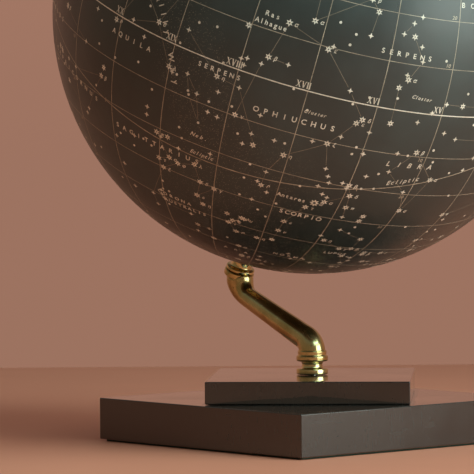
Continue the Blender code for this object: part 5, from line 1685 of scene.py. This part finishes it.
@dataclass
class Print:
    """Everything printed on the black ground: lines, numbers, names and stars."""

    hour_width: float = 0.00040
    parallel_width: float = 0.00032
    equator_width: float = 0.00060
    ecliptic_width: float = 0.00050
    join_width: float = 0.00026
    depth: float = 0.00008
    symbol_rise: float = 0.000045
    symbol_sink: float = 0.00006
    sizes: dict[Kind, float] = field(
        default_factory=lambda: {
            Kind.FIRST: 0.0028,
            Kind.OPEN: 0.00215,
            Kind.FOUR_POINT: 0.00170,
            Kind.ROUND: 0.00079,
        }
    )
    greek_limit: float = 3.4
    greek_height: float = 0.0023
    hour_height: float = 0.0037
    degree_height: float = 0.0021
    faint_dots: int = 360
    faint_points: int = 90
    seed: int = 1903

    def __post_init__(self) -> None:
        """Reads the chart."""
        self.figures: dict[str, list[Star]] = {}
        self.joins: dict[str, list[str]] = {}
        for line in CHART.strip().splitlines():
            name, stars, joins = line.split("|")
            self.figures[name] = [self.star(entry) for entry in stars.split()]
            self.joins[name] = joins.split()

    def star(self, entry: str) -> Star:
        """Reads one star and carries it back to the year 1900.

        Args:
            entry: the letter, hours, declination and magnitude.

        Returns:
            The star.
        """
        place, magnitude = entry[1:].split(":")
        hours, declination = place_of(place)
        angle = math.radians(15.0 * hours)
        lean = math.tan(math.radians(max(-80.0, min(80.0, declination))))
        hours -= (3.075 + 1.336 * math.sin(angle) * lean) * 100.0 / 3600.0
        declination -= 20.04 * math.cos(angle) * 100.0 / 3600.0
        return Star(entry[0], hours % 24.0, declination, float(magnitude))

    def finished(self, made: bpy.types.Object, finish: Finish) -> None:
        """Moves grown ink from the globe's frame to the object's, and settles it."""
        made.data.transform(SKY.matrix())
        smooth(made.data, INK_SHARP)
        made.data.materials.clear()
        made.data.materials.append(finish.material())
        settle(made, finish, "globe")

    def band(self, width: float, rise: float, finish: Finish) -> dict[str, Any]:
        """The inputs that every band of ink takes."""
        return {
            "Radius": SKY.radius + rise - self.depth / 2.0,
            "Width": width,
            "Thickness": self.depth,
            "Material": finish.material(),
        }

    def graticule(self) -> None:
        """Hour circles and parallels, then the bolder equator."""
        hours = {"Count": 24, "Reach": math.radians(80.0), "First": math.radians(SKY.equinox)}
        rings = {"Count": 17, "Step": math.radians(10.0)}
        one = {"Count": 1, "Step": 0.0}
        circles, parallels = hour_circle_tree(), parallel_tree()
        for name, tree, values, width, rise, finish in (
            ("print_hour_circles", circles, hours, self.hour_width, 0.000020, INK_LINE),
            ("print_parallels", parallels, rings, self.parallel_width, 0.000024, INK_LINE),
            ("print_equator", parallels, one, self.equator_width, 0.000030, INK),
        ):
            values = {**values, **self.band(width, rise, finish)}
            self.finished(grow(name, tree, values), finish)

    def traced(
        self, name: str, paths: list[list[Vector]], width: float, rise: float, finish: Finish
    ) -> None:
        """Prints bands along paths of unit vectors."""
        points: list[Vector] = []
        edges: list[tuple[int, int]] = []
        for path in paths:
            start = len(points)
            points += path
            edges += [(start + i, start + i + 1) for i in range(len(path) - 1)]
        mesh = bpy.data.meshes.new(name)
        mesh.from_pydata([tuple(p) for p in points], edges, [])
        self.finished(grow(name, traced_tree(), self.band(width, rise, finish), mesh), finish)

    def arc(self, start: Vector, end: Vector, trim: float = 0.0) -> list[Vector]:
        """Points on the great circle between two places, stopping short of both by trim radians.

        Args:
            start: the first place.
            end: the last place.
            trim: the gap at each end in radians.

        Returns:
            The points.
        """
        angle = start.angle(end)
        steps = max(2, round(math.degrees(angle)))
        made = []
        for i in range(steps + 1):
            share = (trim + (angle - 2.0 * trim) * i / steps) / angle
            made.append(start.slerp(end, share).normalized())
        return made

    def ecliptic(self) -> None:
        """The ecliptic, with ticks at each sign's start."""
        pole = SKY.local(18.0, 66.56)
        first = SKY.local(0.0, 0.0)
        path = [Matrix.Rotation(TURN * i / 360, 3, pole) @ first for i in range(361)]
        ticks = []
        for i in range(12):
            at = Matrix.Rotation(TURN * i / 12, 3, pole) @ first
            across = at.cross(pole).cross(at).normalized()
            ticks.append([(at + across * step * 0.010).normalized() for step in (-1.0, 0.0, 1.0)])
        self.traced("print_ecliptic", [path], self.ecliptic_width, 0.000027, INK_LINE)
        self.traced("print_ecliptic_ticks", ticks, self.hour_width, 0.000025, INK_LINE)

    def join_lines(self) -> None:
        """The lines that join each constellation's stars."""
        paths = []
        for name, chains in self.joins.items():
            places = {star.letter: star.place() for star in self.figures[name]}
            for chain in chains:
                for a, b in zip(chain, chain[1:]):
                    start, end = places[a], places[b]
                    if start.angle(end) > 0.045:
                        paths.append(self.arc(start, end, 0.015))
        self.traced("print_join_lines", paths, self.join_width, 0.000018, INK_JOIN)

    def all_stars(self) -> list[Star]:
        """The chart's stars, and a scatter of faint ones that thickens towards the Milky Way."""
        chance = random.Random(self.seed)
        made = [star for figure in self.figures.values() for star in figure]
        taken = [star.place() for star in made]
        for line in words_of(NAMES) + words_of(NOTES):
            count = len(line.text) - 1
            ends = [SKY.local(*line.start), SKY.local(*line.end)]
            taken += [ends[0].slerp(ends[1], i / count) for i in range(count + 1)]
        galactic = SKY.local(*GALACTIC_POLE)
        wanted = self.faint_dots + self.faint_points
        extra: list[Star] = []
        while len(extra) < wanted:
            hours = chance.uniform(0.0, 24.0)
            declination = math.degrees(math.asin(chance.uniform(-0.985, 0.985)))
            keep = chance.random()
            place = SKY.local(hours, declination)
            near_band = max(0.0, 1.0 - abs(place.dot(galactic)) / 0.35)
            if keep > 0.45 + 0.55 * near_band:
                continue
            if any(place.dot(other) > math.cos(math.radians(2.2)) for other in taken):
                continue
            taken.append(place)
            magnitude = 4.4 if len(extra) < self.faint_points else 5.0
            extra.append(Star(" ", hours, declination, magnitude))
        return made + extra

    def stars(self) -> None:
        """Stamps a symbol for every star."""
        tree = stamp_tree()
        every = self.all_stars()
        for kind in Kind:
            shape = symbol(kind)
            levels = (self.symbol_rise, -self.symbol_sink)
            mesh = bpy.data.meshes.new(f"symbol_{kind.value}")
            points = [(x, y, level) for level in levels for x, y in shape.points]
            mesh.from_pydata(points, [], shape.closed())
            stamp = linked(f"symbol_{kind.value}", mesh)
            chosen = [star for star in every if star.kind() is kind]
            base = bpy.data.meshes.new(f"places_{kind.value}")
            base.from_pydata([tuple(star.place()) for star in chosen], [], [])
            size = base.attributes.new("size", "FLOAT", "POINT")
            for i, star in enumerate(chosen):
                faintness = star.magnitude - 3.0 if kind is Kind.OPEN else 0.0
                size.data[i].value = self.sizes[kind] * (1.0 - 0.06 * faintness)
            values = {"Symbol": stamp, "Radius": SKY.radius, "Material": INK.material()}
            made = grow(f"print_stars_{kind.value}", tree, values, base)
            bpy.data.objects.remove(stamp, do_unlink=True)
            self.finished(made, INK)

    def east(self, hours: float, declination: float) -> Vector:
        """The direction in which a line of reading runs at a place: towards fewer hours."""
        here = SKY.local(hours, declination)
        return Vector((-here.y, here.x, 0.0)).normalized()

    def set_line(self, press: Press, line: Lettering) -> None:
        """Sets spaced letters evenly between two places.

        Args:
            press: where they are gathered.
            line: the words.
        """
        count = len(line.text)
        for i, letter in enumerate(line.text):
            if letter == " ":
                continue
            share = i / max(1, count - 1)
            place = [a + (b - a) * share for a, b in zip(line.start, line.end)]
            along = SKY.local(*line.end) - SKY.local(*line.start)
            level = self.east(*place)
            if line.slant or abs(line.start[1] - line.end[1]) > 1.0:
                level = along
            press.stamp(glyphs(letter, line.slant), SKY.local(*place), level, line.height)

    def lettering(self) -> None:
        """Constellation names, star names and notes."""
        for name, lines in (("print_constellation_names", NAMES), ("print_star_names", NOTES)):
            press = Press()
            for line in words_of(lines):
                self.set_line(press, line)
            press.settle(name, INK)

    def greek(self) -> None:
        """The Greek letter beside each bright star."""
        press = Press()
        for star in (star for figure in self.figures.values() for star in figure):
            if star.magnitude > self.greek_limit or star.letter.isascii():
                continue
            lean = math.cos(math.radians(star.declination)) + 0.02
            hours = star.hours - 0.1 / lean
            place = SKY.local(hours, star.declination - 0.4)
            east = self.east(hours, star.declination)
            press.stamp(glyphs(star.letter, 0.2), place, east, self.greek_height)
        press.settle("print_greek_letters", INK)

    def numbers(self) -> None:
        """Roman hours over the equator, and degrees beside four of the hour circles."""
        press = Press()
        for hour, text in enumerate(HOURS):
            place = (hour + 0.08, 0.42)
            press.stamp(numeral(text), SKY.local(*place), self.east(*place), self.hour_height)
        press.settle("print_hour_numerals", INK)
        press = Press()
        shapes = {tens: glyphs(str(tens * 10), 0.15) for tens in range(1, 9)}
        for hour in (3, 9, 15, 21):
            for tens, shape in shapes.items():
                for side in (1.0, -1.0):
                    declination = side * tens * 10.0 + (0.35 if side > 0 else -1.15)
                    shift = 0.085 / math.cos(math.radians(declination))
                    place = (hour + shift, declination)
                    press.stamp(shape, SKY.local(*place), self.east(*place), self.degree_height)
        press.settle("print_degree_numbers", INK_LINE)

    def build(self) -> None:
        """Prints the whole map."""
        self.graticule()
        self.ecliptic()
        self.join_lines()
        self.stars()
        self.lettering()
        self.greek()
        self.numbers()


# ------------------------------------------------------------------ what stays of the CAD model


KEPT = {
    FELT: ("felt_pad",),
    BOARD: ("north_shell", "south_shell", "seam_hoop"),
    BEECH: ("north_pole_block", "south_pole_block", "centre_pillar"),
    STEEL: ("axle_rod",),
    ZINC: tuple(f"plinth_screw_{number}" for number in range(1, 5)),
}


class Interior:
    """The hidden pieces, whose CAD shapes are right."""

    def build(self) -> None:
        """Gives each kept CAD piece its finish."""
        for finish, nodes in KEPT.items():
            for node in nodes:
                for slot in frame["nodes"][node].material_slots:
                    slot.material = finish.material()
                LOG.info("%s: CAD shape in %s", node, finish.name)


# ------------------------------------------------------------------ studio


@dataclass
class Studio:
    """A plain floor, soft light and the camera. Lengths in metres and angles in degrees."""

    floor_back: float = 0.66
    floor_front: float = 1.30
    floor_width: float = 2.2
    floor_thickness: float = 0.02
    distance: float = 2.1564
    bearing: float = -42.14
    eye_height: float = 0.1894
    heading: float = 139.02
    pitch: float = -1.84
    roll: float = -0.42
    lens: float = 279.1
    ground: Rgb = (0.79, 0.265, 0.158)
    backdrop: Rgb = (0.392, 0.200, 0.138)
    room_left: Rgb = (0.175, 0.125, 0.080)
    room_right: Rgb = (0.25, 0.180, 0.135)
    room_above: Rgb = (0.13, 0.18, 0.18)
    room_below: Rgb = (0.310, 0.165, 0.105)

    def camera(self) -> None:
        """Places the camera a little over two metres off, just below the globe's middle."""
        turn, dip, twist = (math.radians(a) for a in (self.heading, self.pitch, self.roll))
        forward = sphere_point(turn, dip)
        level = Vector((math.sin(turn), -math.cos(turn), 0.0))
        upright = level.cross(forward)
        right = level * math.cos(twist) + upright * math.sin(twist)
        up = upright * math.cos(twist) - level * math.sin(twist)
        data = bpy.data.cameras.new("camera")
        data.lens = self.lens
        data.sensor_width = 36.0
        data.clip_end = 100.0
        made = linked("camera", data)
        place = Matrix.Translation(bearing_point(self.bearing, self.distance, self.eye_height))
        made.matrix_world = place @ Matrix((right, up, -forward)).transposed().to_4x4()
        bpy.context.scene.camera = made

    def floor(self) -> None:
        """A plain square table top, with its far edge level across the view."""
        made = bpy.data.materials.new("floor_plain")
        made.use_nodes = True
        sheet = Sheet(made.node_tree)
        shader = made.node_tree.nodes["Principled BSDF"]
        coords = sheet.add("ShaderNodeTexCoord").outputs["Object"]
        mask = sheet.group(mottle_group(), Vector=coords, Scale=5.0)
        colour = sheet.mix(mask, toned(self.ground, 0.97), self.ground)
        sheet.fill(shader, {"Base Color": colour, "Roughness": 0.62})
        bm = bmesh.new()
        bmesh.ops.create_cube(bm, size=1.0)
        deep, thick = self.floor_back + self.floor_front, self.floor_thickness
        middle = ((self.floor_back - self.floor_front) / 2.0, 0.0, -thick / 2.0)
        bmesh.ops.scale(bm, vec=(deep, self.floor_width, thick), verts=bm.verts)
        bmesh.ops.translate(bm, vec=middle, verts=bm.verts)
        bmesh.ops.bevel(bm, geom=bm.edges[:], offset=0.003, segments=3, affect="EDGES")
        mesh = mesh_of(bm, "floor", Matrix.Rotation(math.radians(self.heading), 4, "Z"))
        mesh.materials.append(made)
        linked("floor", mesh)

    def lamp(
        self, name: str, place: Vector, size: tuple[float, float], power: float, colour: Rgb,
        target: Vector = Vector((0.0, 0.0, 0.2)), spread: float = 180.0,
    ) -> None:
        """A soft rectangular light.

        Args:
            name: the light's name.
            place: its middle.
            size: its width and height.
            power: its power in watts.
            colour: its colour.
            target: the point that it faces.
            spread: the width of its beam in degrees.
        """
        data = bpy.data.lights.new(name, "AREA")
        data.spread = math.radians(spread)
        data.shape = "RECTANGLE"
        data.size, data.size_y = size
        data.energy = power
        data.color = colour
        facing = (target - place).to_track_quat("-Z", "Y").to_matrix().to_4x4()
        linked(name, data).matrix_world = Matrix.Translation(place) @ facing

    def air(self) -> None:
        """The room's soft light: the backdrop's tone all round, paler and cooler overhead."""
        world = bpy.data.worlds.new("room")
        world.use_nodes = True
        bpy.context.scene.world = world
        sheet = Sheet(world.node_tree)
        coords = sheet.add("ShaderNodeTexCoord").outputs["Generated"]
        turn = math.radians(self.heading)
        east, north = math.cos(turn), math.sin(turn)
        behind, side = (
            sheet.vector("DOT_PRODUCT", coords, way).outputs["Value"]
            for way in ((east, north, 0.0), (north, -east, 0.0))
        )
        height = sheet.split(coords)["Z"]
        low_wall = toned(self.backdrop, 0.86)
        wall = sheet.mix(sheet.span(height, -0.02, 0.10), low_wall, self.backdrop)
        room = sheet.mix(sheet.span(side, -0.7, 0.8), self.room_left, self.room_right)
        tone = sheet.mix(sheet.span(behind, 0.0, 0.75), room, wall)
        tone = sheet.mix(sheet.span(height, 0.22, 0.90), tone, self.room_above)
        tone = sheet.mix(sheet.span(height, -0.02, -0.22), tone, self.room_below)
        sheet.fill(world.node_tree.nodes["Background"], {"Color": tone, "Strength": 1.0})

    def build(self) -> None:
        """Sets the studio up."""
        self.camera()
        self.floor()
        self.air()
        ahead = Vector((0.15, -0.15, 0.15))
        cool = (0.60, 0.98, 1.0)
        self.lamp("key", bearing_point(2.0, 0.92, 1.10), (1.2, 0.9), 3.6, cool, ahead, 70.0)
        self.lamp("side", bearing_point(20.0, 1.35, 0.34), (1.0, 0.7), 10.0, (0.86, 1.0, 0.93))
        self.lamp("top", Vector((0.1, -0.1, 2.3)), (1.6, 1.6), 3.0, (0.70, 1.0, 0.98))
        bpy.context.scene.view_settings.view_transform = "Standard"
        bpy.context.scene.view_settings.look = "None"


def bearing_point(bearing: float, distance: float, height: float) -> Vector:
    """A point at a bearing round the object, in degrees."""
    angle = math.radians(bearing)
    return Vector((math.cos(angle) * distance, math.sin(angle) * distance, height))


def main() -> None:
    """Builds the sub-assemblies in order."""
    logging.basicConfig(level=logging.INFO, format="%(name)s: %(message)s")
    for assembly in (
        Base, Clamp, FootSpool, Arm, AxleFittings, Skin, Print, Interior, Studio,
    ):
        LOG.info("building %s", assembly.__name__)
        assembly().build()


if __name__ == "__main__":
    main()
